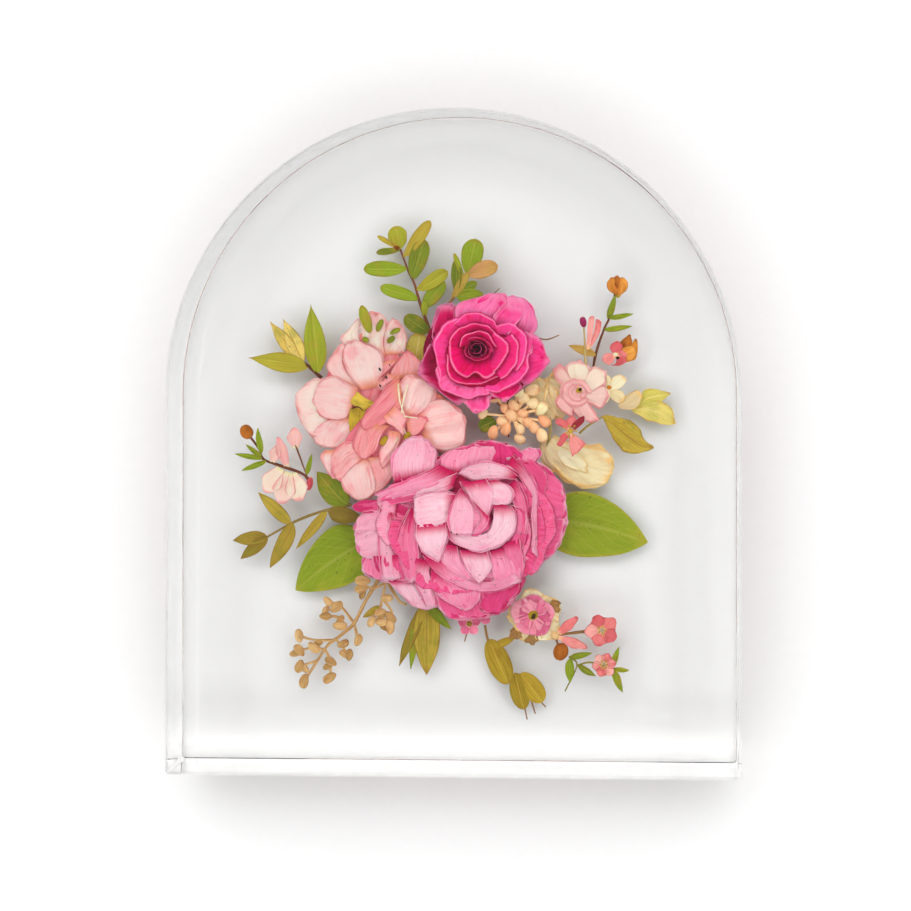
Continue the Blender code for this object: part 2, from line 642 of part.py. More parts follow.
def middle_right_flowers():
    """The beads, waxy flowers and cream petals at the right of the large blooms."""
    peach = finish("bead_peach", (0.80, 0.55, 0.40))
    cream = finish("cream_petal", (0.74, 0.62, 0.42))
    wax = finish("wax_blush", (0.84, 0.55, 0.50))
    coral = finish("coral_dark", (0.62, 0.18, 0.15))
    olive = finish("ruffled_olive", (0.44, 0.33, 0.12))
    level = UPPER
    ring = ((14.3, 15.5), (10, 9.4), (13.6, 2.9), (16.8, 6.9), (20, 9), (21.1, 12.6), (23.2, 4.3),
            (23.2, 0.4), (22.5, 17.3), (27.6, 18), (27.9, 13.3), (31.1, 11.5), (28.3, 4.7), (32.0, 6.9),
            (31.1, 1.8))
    hub = (20.5, 8.6)
    grow("bead_cluster", peach, [
        bead(hub, level - 1.0, (3.0, 3.0, 1.2)),
        *[stem([hub, place], level - 0.8 + STAGGER * (turn % 3), radius=0.5)
          for turn, place in enumerate(ring)],
        *[bead(place, level - 0.4 + STAGGER * (turn % 3), BEAD_SIZE)
          for turn, place in enumerate(ring)],
        blade((14.5, 7), (8.4, 4.4), 5.6, level - 1.0, OVAL),
    ])
    grow("cream_petals", cream, [
        stem([(33, -6), (34, 8), (31, 16)], LOW),
        blade((33, -7), (56.6, -8.5), 16, LOW, PETAL, cup=1.0),
        blade((33, -4), (39.6, -14.7), 10, LOW + 0.3, OVAL),
        blade((33.6, 7), (29, 22.3), 12, LOW + 0.2, OVAL),
    ])
    grow("wax_flower", wax, [
        *blossom((44.8, 17.6), 8.6, 5, 9.6, UPPER + 0.4, turn=54, form=OVAL, heart=2.2),
    ])
    level = FRONT + 1.0
    grow("coral_star", coral, [
        bead((40.4, 4.3), level + 0.4, (2.0, 2.0, 1.2)),
        blade((40.4, 4.3), (34.4, 8.6), 5.6, level, PETAL),
        blade((40.4, 4.3), (46.8, 9.0), 5.6, level + 0.1, PETAL),
        blade((40.4, 4.3), (42.3, -5.3), 4.4, level, LEAF),
        blade((40.4, 4.3), (47.4, -0.4), 4.4, level + 0.2, LEAF),
        blade((40.4, 4.3), (34.6, 1.0), 4.6, level + 0.1, PETAL),
    ])
    grow("leaf_ruffled", olive, [blade((50, 8.2), (70.6, -2.1), 9.5, MIDDLE, OVAL, cup=0.8)])


def upper_right_sprigs():
    """The tall twig, buds, capsule and yellow leaf at the upper right."""
    brown = finish("twig_brown", (0.45, 0.23, 0.07))
    magenta = finish("bud_magenta", (0.55, 0.05, 0.22))
    coral = finish("flower_coral", (0.66, 0.15, 0.13))
    cream = finish("blossom_cream", (0.78, 0.66, 0.44))
    capsule = finish("capsule_brown", (0.50, 0.26, 0.06))
    yellow = finish("leaf_yellow", (0.56, 0.52, 0.15))
    grow("sprig_right", brown, [
        stem([(49.1, 23), (50.5, 31.3), (53.4, 39.9), (55.5, 44.5), (57.6, 54)], MIDDLE),
        bead((58, 55.6), MIDDLE, (3.9, 3.3, 2.2), fine=True),
        *leaves(
            MIDDLE,
            ((54.8, 43.5), (60.4, 51.4), 2.5), ((55, 43.8), (63.8, 45.6), 1.8),
            ((53.2, 39.6), (63.4, 40.9), 1.9), ((50.4, 31), (40.8, 34.1), 2.9),
        ),
    ])
    grow("bud_magenta", magenta, [
        stem([(46.9, 25.2), (46.2, 34), (45.9, 41)], UPPER + 0.6, radius=0.6),
        bead((45.9, 42.6), UPPER + 0.6, (1.3, 2.0, 1.2)),
        blade((46.5, 30), (49.4, 44.5), 3.4, UPPER + 0.6, LANCE),
        blade((46.7, 33), (52.6, 41.6), 3.0, UPPER + 0.8, PETAL),
    ])
    grow("flower_coral", coral, [
        *blossom((56.6, 31.4), 4.4, 6, 3.8, UPPER + 0.4, turn=30),
    ])
    grow("blossom_cream", cream, [
        *blossom((55.2, 19.4), 5.4, 6, 5.2, UPPER - 2.4, turn=20),
        blade((55, 19), (66.4, 14.8), 8.2, UPPER - 2.6, OVAL),
    ])
    grow("capsule_brown", capsule, [
        bead((62, 34), MIDDLE, (3.1, 4.0, 1.9), fine=True),
        stem([(62, 31), (58.6, 26.6)], MIDDLE),
    ])
    grow("leaf_yellow_right", yellow, [blade((63.6, 7.2), (79.2, 16.6), 11, LOWEST + 0.6, OVAL, bend=-1.0)])


clear_scene()
PLAQUE = new_collection("pressed_flower_resin_plaque")
CUTTERS = new_collection("cutters")
PIECES = new_collection("pieces")
BLOCK = bpy.data.objects.new("block_origin", None)
PLAQUE.objects.link(BLOCK)

resin()
large_leaves()
sprig_top_left()
sprig_top_centre()
sprig_left_pointed()
sprig_left_buds()
sprig_left_olive()
seed_heads()
lower_right_flowers()
middle_right_flowers()
upper_right_sprigs()
blush_bloom_upper()
blush_bloom_lower()
rose()
peony()
bpy.data.collections.remove(PIECES)
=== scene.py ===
"""The looks of a dried bouquet sealed in an arch-topped block of clear resin.

Blender 4.5, metres, +Z up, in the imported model's frame. The bouquet's sizes and places are written in
millimetres in that frame: X runs across the block, Y up to the top of its arch and Z out of its display
face, with the block's back at height 0. A tone is a place from 0 to 1 along a tissue's range of colours.
"""

from math import atan2, cos, pi, radians, sin

import bpy
import numpy as np
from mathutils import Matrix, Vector


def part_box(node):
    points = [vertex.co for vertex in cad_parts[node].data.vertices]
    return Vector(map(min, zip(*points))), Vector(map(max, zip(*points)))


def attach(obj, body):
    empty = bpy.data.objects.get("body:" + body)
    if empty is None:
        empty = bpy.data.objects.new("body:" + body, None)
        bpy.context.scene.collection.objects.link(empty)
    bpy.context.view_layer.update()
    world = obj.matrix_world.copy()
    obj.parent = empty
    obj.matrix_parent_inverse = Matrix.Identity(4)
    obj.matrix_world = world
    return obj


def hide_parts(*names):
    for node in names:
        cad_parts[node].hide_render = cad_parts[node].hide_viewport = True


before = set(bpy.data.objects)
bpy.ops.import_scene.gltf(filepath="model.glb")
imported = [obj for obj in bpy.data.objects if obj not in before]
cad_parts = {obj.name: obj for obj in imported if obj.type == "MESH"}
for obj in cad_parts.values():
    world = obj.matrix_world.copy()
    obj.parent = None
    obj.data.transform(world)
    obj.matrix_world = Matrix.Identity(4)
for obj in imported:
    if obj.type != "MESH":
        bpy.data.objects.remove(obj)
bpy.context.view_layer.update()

MM = 0.001

# The block of resin
CORNER_ROUND = 1.5
EDGE_ROUND = 1.2
BACK_ROUND = 0.5
ARCH_STEPS = 180
CORNER_STEPS = 6
EDGE_STEPS = 5
RESIN_IOR = 1.49
RESIN_TINT = (0.80, 0.79, 0.77)
RESIN_DENSITY = 6.0
SWIRL_SCALE = 55.0
SWIRL_STRENGTH = 0.05
SWIRL_DEPTH = 0.0004
BLOCK_BOUNCES = 16
DIFFUSE_BOUNCES = 6

# Heights of the bouquet's layers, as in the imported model
LOWEST = 6.8
LOW = 9.0
MIDDLE = 11.2
UPPER = 13.6
FRONT = 16.6

# Leaves, and how a blade widens and narrows: the powers of the distance from its base and from its tip
LEAF_THICK = 0.28
LEAF_LIFT = 0.5
LEAF_ARCH = 0.5
LEAF_CUP = 0.4
NARROWEST = 0.12
STAGGER = 0.12
LEAF = (0.6, 0.9)
LANCE = (0.9, 1.3)
OVAL = (0.5, 0.45)
ROUNDED = (0.7, 0.5)

# Petals from base to tip: the share of their length where they are widest, and how their ends close
PETAL_THICK = 0.22
PETAL_ARCH = 0.6
PETAL_WIDEST = 0.66
PETAL_NARROWING = 0.16
PETAL_ROUNDING = 0.38

# The petal under each drawn one, toned deeper as painted shade, and how a small flower's drawn petals are
# shaped
UNDER_DROP = 0.85
UNDER_OUTSET = 0.7
UNDER_SHADE = 0.26
SMALL_PETAL = dict(dome=0.5, lip=0.2, ruffle=0.22, crinkle=0.12, ragged=0.15, rows=20, columns=14)

# Petals that stand round a middle: where a band's rim lies and how far it goes on inward, and cupped ones
CREST = 0.1
BAND_DEEPER = 0.45
BAND_GRID = (36, 11)
CUPPED_DIP = 0.2
CUPPED_DEPTH = 0.85
CUPPED_COLUMNS = 24

# Stems, stamens and the middles of flowers
ROUTE_STEPS = 5
TUBE_SIDES = 8
STEM_KNOTS = 0.12
FLOWER_HEART = 1.8
ANTHER = 0.35

# Tissue
DULL = 0.06
RELIEF = 0.0006
SPECK_SCALE = 900.0
SPECK_COLOUR = (90, 45, 35)

# The photograph's camera: above the right of the block, its lens shifted to take in the whole of it
CAMERA_PLACE = (0.056, 0.034, 0.545)
CAMERA_AIM_X = 0.0382
FOCAL_LENGTH = 57.75
SENSOR_WIDTH = 36.0
CAMERA_SHIFT = (-0.115, -0.1205)

# Light: an even glow, a broad brighter patch over the top of the arch, and a dark one overhead that keeps
# the block's face from mirroring white
GLOW = 2.28
PATCH = 4.0
PATCH_DIRECTION = (-0.03, 0.52, 0.85)
PATCH_SHARPNESS = 14.0
OVERHEAD_SHADE = 0.9
OVERHEAD_EDGE = (0.86, 0.93)
FLOOR_WHITE = 0.52
FLOOR_GRAIN = 0.01
FLOOR_GRAIN_SCALE = 300.0
FLOOR_SIZE = 3.0
FLOOR_DROP = 0.0004

# Middles of flowers
BEAD_HUB = (20.5, 8.6)
ROSE_HEART = (8.8, 32.8)
PEONY_MIDDLE = (1.5, -30.5)

# The big blooms' petals, each given by its two edges from base to tip, as x and y in turn, the heights of its
# base and tip, its tone and how far its end bulges out. The blush petals' heights are over their bloom's.
# The deepest tones partly stand for painted shade on petals that lie under others.
PEONY_GUARDS = (
    ((23.5, -18, 28, -8.5, 33.5, -10, 38, -15),
     (23.5, -27, 29.5, -28, 35, -28, 39.5, -26.5), 20.6, 21.2, 0.55, 1),
    ((23, -25, 30, -26.5, 35, -26, 40, -26.5),
     (22, -38, 28, -40.5, 32, -41.5, 35, -40.5), 20.2, 20, 0.5, 1),
    ((21, -34.5, 27, -39, 30, -41, 34, -41.5),
     (15, -43, 20.5, -47, 23.5, -49, 26, -46), 20, 19.4, 0.35, 1.5),
    ((22, -45.5, 24.5, -48.5, 25, -50, 23.5, -53),
     (9, -51, 10.5, -55.5, 12, -59, 14.5, -62), 20.6, 19.6, 0.3, 1.5),
    ((10, -50.5, 12, -55, 13, -59, 13, -62),
     (-8, -51.5, -6.5, -55.5, -5, -59.5, -2, -63), 20.8, 20, 0.5, 0.5),
    ((-9, -49, -8, -53, -7.5, -56, -7, -59.5),
     (-24.5, -50, -21, -52.5, -18.5, -55.5, -15, -59), 19.6, 19.2, 0.97, 0.8),
    ((-17.5, -40.5, -20, -45.5, -20.5, -49, -21, -50),
     (-29, -39, -32, -42, -32.5, -44.5, -32.5, -47), 20.2, 19.8, 0.7, 1),
    ((-21, -38, -26.5, -41, -29.5, -42, -32.5, -41.5),
     (-21, -28.5, -27, -27, -31.5, -29.5, -35, -32.5), 20.4, 20.2, 0.93, 1),
    ((-21, -30.5, -26, -31.5, -30.5, -32, -35, -32.5),
     (-21, -23, -27, -24, -31, -25, -33.5, -26.5), 20.8, 20.6, 0.9, 1),
    ((-21, -25, -27, -25, -31.5, -25.5, -35.5, -24.5),
     (-21, -20.5, -26.5, -21, -31, -22, -34.5, -22.5), 21.4, 21.2, 0.5, 0.4),
    ((-7, -13, -7, -8.5, -6.5, -4, -9, -0.5),
     (-21, -15, -22, -10.5, -21.5, -5.5, -17.5, 0), 21, 21.4, 0.95, 1.4),
    ((14, -11.5, 14.5, -7, 15, -4.5, 14.5, -2),
     (-4.5, -11.5, -4.5, -8.5, -4.5, -6, -1.5, -3.5), 21.8, 22.6, 0.82, 0.8),
    ((27.5, -12.5, 27, -8.5, 25.5, -5, 22, -2.5),
     (2.5, -10.5, 3, -5.5, 4.5, -2.5, 7.5, -0.5), 21.2, 21.8, 0.3, 1.2),
    ((28, -8, 29.5, -6, 30.5, -4.5, 30, -3), (23.5, -8, 23.5, -6, 24, -4, 25.5, -3), 21.8, 22.8, 0.75, 0.3),
    ((31.5, -22, 33.5, -14, 31.5, -9.5, 27.5, -6),
     (24.5, -21, 25.5, -15.5, 23.5, -10.5, 19.5, -6), 22, 22.6, 0.45, 0.3),
)
PEONY_FOLDS = (
    ((1.5, -11.5, -5, -13, -15, -16.5, -26.5, -19),
     (-1.5, -18, -7, -19.5, -17.5, -21.5, -26, -23.5), 23.2, 22.6, 0.5, 0.5),
    ((-4.5, -8.5, -9, -11, -17.5, -14.5, -28, -19),
     (1.5, -11.5, -4, -16.5, -13, -18.5, -21, -20.5), 24, 23.6, 0.75, 0.5),
    ((1.5, -11, -2, -12.5, -7.5, -15, -13, -18),
     (0, -16, -2.5, -17.5, -7, -18.5, -13.5, -19.5), 24.8, 24.2, 0.95, 0.3),
    ((-23, -25, -21, -27, -22.5, -35.5, -19, -48.5),
     (-26.5, -24, -26, -28.5, -26.5, -38, -25.5, -49), 22.4, 22, 0.85, 0.4),
    ((-13.5, -23.5, -13, -32.5, -12.5, -40.5, -13.5, -49.5),
     (-15.5, -24, -19.5, -33.5, -19.5, -42, -16.5, -49.5), 23.4, 22.8, 0.6, 0.3),
    ((-7, -43, -9, -46, -7.5, -51.5, -6.5, -58.5),
     (-13.5, -41.5, -14.5, -46, -13, -51.5, -9.5, -58.5), 22.8, 21.6, 0.85, 0.3),
    ((-18, -40.5, -18, -44.5, -17.5, -48, -16.5, -49.5),
     (-28, -41, -27.5, -44.5, -26, -47, -22.5, -49), 21.6, 21, 0.4, 0.5),
    ((9, -51.5, 9.5, -54, 9, -56.5, 6, -59.5),
     (-7, -46, -7, -51, -4, -56, 2.5, -59.5), 22.8, 22.4, 0.72, 0.4),
    ((23.5, -50, 23, -53, 20.5, -56, 17.5, -60),
     (9, -52, 9.5, -55, 9, -58, 10.5, -60.5), 22, 21.4, 0.3, 0.6),
    ((21, -5, 26, -10.5, 29.5, -18, 29.5, -29.5, 30, -41),
     (19, -8, 23.5, -12, 27.5, -19, 28, -29.5, 28, -39), 24, 23.4, 0.8, 0),
    ((-11, -40.5, -6, -46.5, 3.5, -52, 14, -53, 24, -49),
     (-6, -41, -0.5, -45, 7, -49, 14, -49.5, 20.5, -45.5), 23.6, 24.2, 0.75, 0),
)
PEONY_CUP = (
    ((1.5, -37, 2.5, -42, 5, -46, 8, -49.5),
     (-2.5, -36.5, -5, -41, -2.5, -44.5, 1.5, -48), 24, 24.2, 0.68, 0.3),
    ((19.5, -37, 22.5, -42, 24, -46, 23.5, -50),
     (12, -39, 13.5, -43, 14, -47, 14.5, -50.5), 24.2, 24.4, 0.62, 0.3),
    ((23.5, -34.5, 24.5, -39, 25, -44, 24, -49),
     (17.5, -36, 19, -41, 21, -44, 23.5, -46), 24.7, 24.8, 0.5, 0.2),
    ((12, -38.5, 13, -42, 13.5, -45, 9.5, -50),
     (2.5, -38.5, 3.5, -42, 5.5, -46, 9, -49.5), 24.9, 25.1, 0.85, 0.2),
    ((20, -22, 25.5, -25, 26, -33.5, 23, -41.5),
     (19.5, -29.5, 20.5, -32.5, 19.5, -36.5, 22, -41), 24.4, 24.2, 0.38, 0.2),
    ((22, -13, 25, -19.5, 26, -25, 25.5, -32.5),
     (17.5, -18, 21, -21, 22, -25, 21.5, -32.5), 24.8, 24.6, 0.5, 0.2),
    ((0.5, -27, -5, -29.5, -9, -30, -12.5, -30.5),
     (1, -18.5, -4.5, -18, -9.5, -18.5, -13.5, -20), 26.6, 25.8, 0.92, 0.5),
    ((-1.5, -28.5, -2, -32.5, -3, -37, -5, -42),
     (-13, -29.5, -13, -34.5, -10.5, -39, -6, -42), 25.6, 25, 0.88, 0),
    ((23, -12, 18.5, -9, 12, -7.5, 6, -8.5),
     (22.5, -13, 14, -13, 8, -13.5, 2.5, -11), 26.2, 25.6, 0.85, 0.3),
    ((15.5, -13.5, 19, -15.5, 21, -18.5, 20, -21.5),
     (3, -14, 5, -18, 9, -20.5, 14.5, -22), 27, 27.4, 0.9, 0.3),
    ((12, -13, 14, -16.5, 14.5, -20, 12, -26.5),
     (3.5, -14.5, 5.5, -18.5, 8, -22, 10.5, -26.5), 27.4, 28.4, 0.8, 0.2),
    ((18.5, -21.5, 22, -25.5, 21, -32, 15.5, -37, 10.5, -38),
     (14.5, -22, 14.5, -26, 13.5, -30.5, 11, -33, 9.5, -35), 27, 27.2, 0.96, 0),
    ((-2, -29.5, -0.5, -34, 3.5, -37, 9, -38.5, 14, -37),
     (-1, -30.5, 1.5, -32.5, 6, -32.5, 10, -32.5, 12, -32), 27.2, 27.4, 0.85, 0),
    ((3.5, -16.5, 0.5, -22, -1, -27, 0, -32), (3.5, -17, 6, -21, 7.5, -25, 7, -32), 29.6, 29.4, 0.8, 0.2),
    ((13, -26.5, 12, -29.5, 9.5, -32, 7, -32.5),
     (7, -20.5, 9.5, -24, 10.5, -26.5, 9, -29.5), 29.8, 29.2, 0.62, 0.2),
)

BLUSH_UPPER = (
    ((-31, 28, -35, 36.5, -35.5, 39.5, -34.5, 44),
     (-38.5, 32, -40.5, 35, -41, 37, -38.5, 40), 0, 0.8, 0.95, 0.6),
    ((-25.5, 30, -26, 36.5, -25, 41.5, -26.5, 44.5),
     (-33, 32, -33.5, 38.5, -33, 42.5, -31, 45.5), 0.3, 1, 0.97, 0.8),
    ((-21, 31, -19, 32.5, -18, 36, -18.5, 39),
     (-26.5, 30.5, -25.5, 38, -24.5, 41.5, -22.5, 43.5), 0.2, 0.9, 0.95, 0.8),
    ((-46, 20, -51, 21.5, -54, 20, -56.5, 17.5),
     (-41.5, 5, -47.5, 1.5, -52, 1.5, -55.5, 6), 0.3, 0.8, 0.85, 1.4),
    ((-34, 18, -39, 24, -41, 28.5, -40, 33.5),
     (-42.5, 21, -46, 26, -44, 30.5, -41.5, 34), 0.6, 1.2, 0.6, 0.8),
    ((-35, 8, -37, 3.5, -38.5, 0, -42.5, -2.5),
     (-43.5, 8.5, -49.5, 5, -51.5, 2, -50.5, -1), 0.7, 1.3, 0.62, 0.6),
    ((-26.5, 19.5, -26, 24, -27, 31, -31, 34),
     (-33.5, 18, -38, 24, -40.5, 30.5, -39.5, 34.5), 1.2, 2, 0.7, 1.2),
    ((-35, 18.5, -39.5, 20, -43.5, 22.5, -48, 21.5),
     (-38, 10, -40.5, 7.5, -45.5, 7.5, -49, 9.5), 1.4, 2.2, 0.62, 2.4),
    ((-12.5, 23, -12, 26, -14, 29.5, -16, 31), (-23.5, 22, -23, 25, -21, 28, -19, 30.5), 1.4, 2, 0.28, 0.8),
    ((-21, 29, -22, 27.5, -23.5, 26, -25.5, 24),
     (-26.5, 28, -26.5, 26, -26.5, 24.5, -27.5, 22), 1.8, 2.2, 0.2, 0.2),
    ((-20, 22.5, -21, 21, -23.5, 20, -26.5, 18),
     (-24.5, 24, -25, 22.5, -26.5, 21, -28, 20), 1.9, 2.3, 0.3, 0.2),
)
THROAT = (
    ((-28.2, 13, -31, 14.5, -33.5, 16, -35, 17.5),
     (-31, 11.5, -34, 11, -37, 12.5, -38, 13.5), 1.6, 1.9, 0.9, 0.3),
    ((-32.5, 11, -33, 7.8, -33.5, 5.4, -35, 4),
     (-37.8, 12, -38.3, 9.2, -38.5, 6.3, -38.2, 3), 1.5, 1.8, 0.6, 0.3),
)
BLUSH_LOWER = (
    ((-15.5, 8, -11, 11, -8, 15.5, -7.5, 19),
     (-19.5, 10, -20, 15.5, -20, 20, -16.5, 23), 0.2, 1.2, 0.75, 1),
    ((-11, -1, -4, -3.5, 2.5, -2, 3.5, 5), (-13.5, 8.5, -10, 13, -4, 14.5, 1, 11), 0.6, 1.4, 0.7, 1),
    ((-28, -6, -22.5, -6, -21.5, -11, -25.5, -16.5),
     (-33, -6, -31, -13, -30, -17, -30.5, -20), 0.4, 1.2, 0.45, 0.5),
    ((-32, -6, -29, -13, -28.5, -17.5, -30.5, -20),
     (-35, -5.5, -40.5, -11.5, -39.5, -17, -36, -20.5), 0.7, 1.5, 0.68, 1),
    ((-33.5, -1.5, -39, -1, -42.5, -3.5, -45, -6.5),
     (-33, -6, -37, -9.5, -40, -13, -42, -14), 0.9, 1.6, 0.5, 0.6),
    ((-42.5, -3.5, -44, -7, -42.5, -10.5, -42, -13),
     (-46, -3.5, -47.5, -6, -46, -10.5, -43.5, -13.5), 0.5, 1, 0.75, 0.2),
    ((-17, 2.5, -14, 2, -11.5, 4.5, -10, 7),
     (-17.5, 8, -15.5, 8.5, -13.5, 8.5, -11, 8), 1.4, 1.9, 0.35, 0.2),
    ((-20, 22.5, -25.5, 17.5, -30.5, 11.5, -33.5, 6.5),
     (-18.5, 14.5, -21, 9.5, -25.5, 6, -32, 3.5), 1.5, 1.9, 0.22, 0.6),
    ((-24, 5.5, -26.5, 1.5, -28, -3, -31.5, -6),
     (-32, 6.5, -35, 2.5, -36, -2.5, -34, -5.5), 1.6, 2.2, 0.32, 0.6),
    ((-19.5, 3, -20, -1, -21.5, -4.5, -26, -9.5),
     (-23.5, 3.5, -24, 0, -26.5, -3, -27, -6.5), 1.8, 2.4, 0.6, 0.2),
    ((-21.5, 12.5, -17.5, 9, -18.5, 5, -18, 2.5),
     (-25.5, 8.5, -24, 6.5, -21.5, 5, -19, 2.5), 1.9, 2.3, 0.5, 0.2),
)

# The rose's open petals as above, and its standing ones: outer line, inner line, height of the rim and tone
ROSE_OUTER = (
    ((3, 39.5, 1, 42, 0.5, 45.5, 0, 48),
     (-6.5, 33.5, -8, 38, -6.5, 43.5, -5.5, 47.5), 20.6, 21.4, 0.36, 0.6),
    ((18.5, 39.5, 19, 44.5, 19.5, 48, 18.5, 51.5),
     (3, 39.5, 0.5, 44.5, 2, 49, 8.5, 51), 21, 22.2, 0.9, 1.2),
    ((25, 35, 29, 40.5, 28, 47, 25.5, 50), (15, 39.5, 18, 44.5, 19.5, 48, 19.5, 51), 21.4, 22.4, 0.92, 0.8),
    ((22, 38.5, 28, 38, 31, 35, 33, 30), (21.5, 22.5, 26, 20.5, 30, 23.5, 33.5, 28), 20.9, 21.8, 0.74, 0.4),
    ((-2.5, 22.5, -7.5, 21, -10, 22.5, -12, 23.5),
     (-2.5, 35, -7.5, 36, -10, 32, -11.5, 28), 20.3, 21.2, 0.14, 0.6),
    ((6, 17.5, 1.5, 13.5, -2.5, 15.5, -5.5, 18),
     (-2, 26, -7.5, 25, -10, 24.5, -12, 23.5), 20.6, 21.3, 0.26, 0.6),
    ((12.5, 18, 12.5, 14, 12, 12, 10, 11), (4.5, 18, 4, 14.5, 5.5, 12.5, 7, 11), 20.9, 21.3, 0.8, 0.5),
    ((23, 22.5, 24.5, 19.5, 22, 17, 19.5, 15.5),
     (13.5, 20.5, 13, 17, 15.5, 15.5, 17, 15), 20.7, 21.6, 0.5, 0.5),
    ((19.5, 38, 22.5, 41.5, 24.5, 44.5, 24, 47),
     (13.5, 41, 15, 44.5, 17, 47, 19, 48), 22.6, 23.2, 0.8, 0.5),
    ((21.5, 36.5, 25.5, 39.5, 28, 37, 27.5, 33.5),
     (20, 29.5, 23, 28, 25.5, 29.5, 27, 32), 22.4, 23, 0.78, 0.5),
)
ROSE_BANDS = (
    ((27, 32, 27, 26, 23, 20.5, 17, 18, 11, 17.5),
     (23, 31.5, 22, 26.5, 19, 24.5, 16, 23, 11, 21.5), 23.8, 0.74),
    ((-5.5, 28.5, -6.5, 24.5, -5, 19.5, 0, 16.5, 6, 15, 13, 17),
     (-2.5, 28.5, -2, 24.5, -0.5, 21.5, 2, 20, 6.5, 19.5, 11.5, 21), 24.2, 0.84),
    ((-3, 31, -2.5, 26, 0, 22, 4.5, 20, 10, 20, 16, 22.5),
     (0.5, 31, 1, 27, 3, 24.5, 6.5, 23, 11, 23.5, 15, 25.5), 25, 0.48),
    ((1.5, 44, -4, 41.5, -7.5, 36.5, -6.5, 31.5, -6, 25, -4.5, 21),
     (4.5, 39.5, 0, 38, -1.5, 34.5, -2.5, 31, -2.5, 26, -1.5, 22.5), 24.6, 0.72),
    ((0, 41.5, 2, 44.5, 8, 45.5, 13, 44.5, 16, 40.5),
     (3.5, 39.5, 5, 41, 8.5, 42, 12, 40.5, 13.5, 38.5), 25, 0.66),
    ((15, 41.5, 21, 42, 25, 38.5, 26.5, 33.5, 25.5, 29.5, 23, 25),
     (14.5, 37, 18.5, 37.5, 20.5, 35.5, 21.5, 33, 20.5, 29.5, 18.5, 26.5), 25, 0.74),
    ((21, 38, 23, 35, 23, 31, 21.5, 26.5, 17, 22),
     (17, 36.5, 18.5, 33.5, 18.5, 31, 17, 28, 14.5, 25), 26, 0.6),
    ((-2, 33.5, -0.5, 38, 3, 41, 8, 42, 12.5, 41, 16, 37.5),
     (2, 33, 3, 36.5, 5, 38.5, 8, 39.5, 11.5, 38.5, 13.5, 36), 26.2, 0.52),
    ((15, 39.5, 19, 35.5, 19.5, 31, 17, 26.5, 14, 24.5),
     (13, 36.5, 14.5, 33.5, 14.5, 31, 13.5, 28, 12, 26), 27, 0.6),
    ((-2, 34, -1.5, 31, -1, 27, 2, 24, 5, 23, 7.5, 24, 11.5, 21.5, 15, 24.5),
     (3, 33.5, 3, 31.5, 4, 29, 6, 28, 7, 28, 9, 28, 11, 28.5, 13, 30), 27.2, 0.5),
    ((2.5, 33.5, 3.5, 37.5, 8, 39.5, 13, 38, 15.5, 33.5),
     (5, 33.5, 6, 35.5, 8.5, 37, 11.5, 36, 13, 33.5), 28, 0.42),
)

# The small right-hand flowers' and leaves' petals, with heights over their plant's
BRONZE_BUD = (
    ((57, 53.5, 56, 56, 56.5, 58, 57.5, 59),
     (59.5, 53.5, 60, 56.5, 60, 57.5, 59, 58.5), -0.3, 0.2, 0.35, 0.4),
    ((58, 52, 55, 54, 54.5, 56.5, 55.5, 58), (58.5, 52, 58.5, 54.5, 58, 56.5, 57, 58), 0.2, 0.8, 0.6, 0.6),
    ((58.5, 52, 58, 54.5, 58, 56.5, 59, 58), (59, 52, 61.5, 54, 62, 56.5, 61, 58), 0.3, 0.9, 0.75, 0.6),
)
CAPSULE = (
    ((60.5, 31, 59, 33, 59.5, 35.5, 62.5, 38),
     (61.5, 30.5, 63, 33, 63.5, 35.5, 63, 37.5), -0.2, 0.2, 0.4, 0.2),
    ((60.5, 31, 62.5, 33.5, 63.5, 35, 64.5, 36.5),
     (62, 28.5, 64.5, 29, 65.5, 32, 65.5, 35), 0.2, 0.7, 0.62, 0.5),
    ((59.5, 33, 60.5, 33.5, 62.5, 34, 64, 33.5), (60, 31, 61, 28.5, 63, 28.5, 65, 31), 0.6, 1, 0.8, 0.5),
)
CORAL_FLOWER = (
    ((57, 30.5, 55.5, 33, 56, 34.5, 57.5, 35.5),
     (58.5, 31, 59.5, 32.5, 60, 34, 59, 35), 0.3, 0.8, 0.4, 0.4),
    ((57, 31, 55, 31.5, 53.5, 31, 53, 30), (57.5, 30, 56.5, 28, 55, 27, 53.5, 28), 0.4, 0.9, 0.62, 0.4),
    ((57.5, 30.5, 58, 29, 57.5, 27.5, 56, 27),
     (59, 31, 60.5, 30, 61.5, 28.5, 59.5, 27), 0.2, 0.7, 0.3, 0.4),
    ((58, 31.5, 59.5, 32.5, 60.5, 32, 61.5, 31),
     (58.5, 30.5, 59.5, 29.5, 60.5, 29.5, 61.5, 30), 0.1, 0.6, 0.5, 0.3),
)
TRUMPET = (
    ((47, 32.5, 47.5, 37, 47.5, 41, 48, 44), (48, 32.5, 49, 36, 49.5, 39.5, 50, 44.5), 0.4, 1, 0.72, 0.4),
    ((48, 32.5, 49, 36.5, 50, 39.5, 50.5, 43.5),
     (48, 32.5, 50.5, 36, 52, 39, 52.5, 42.5), 0.2, 0.7, 0.58, 0.4),
)
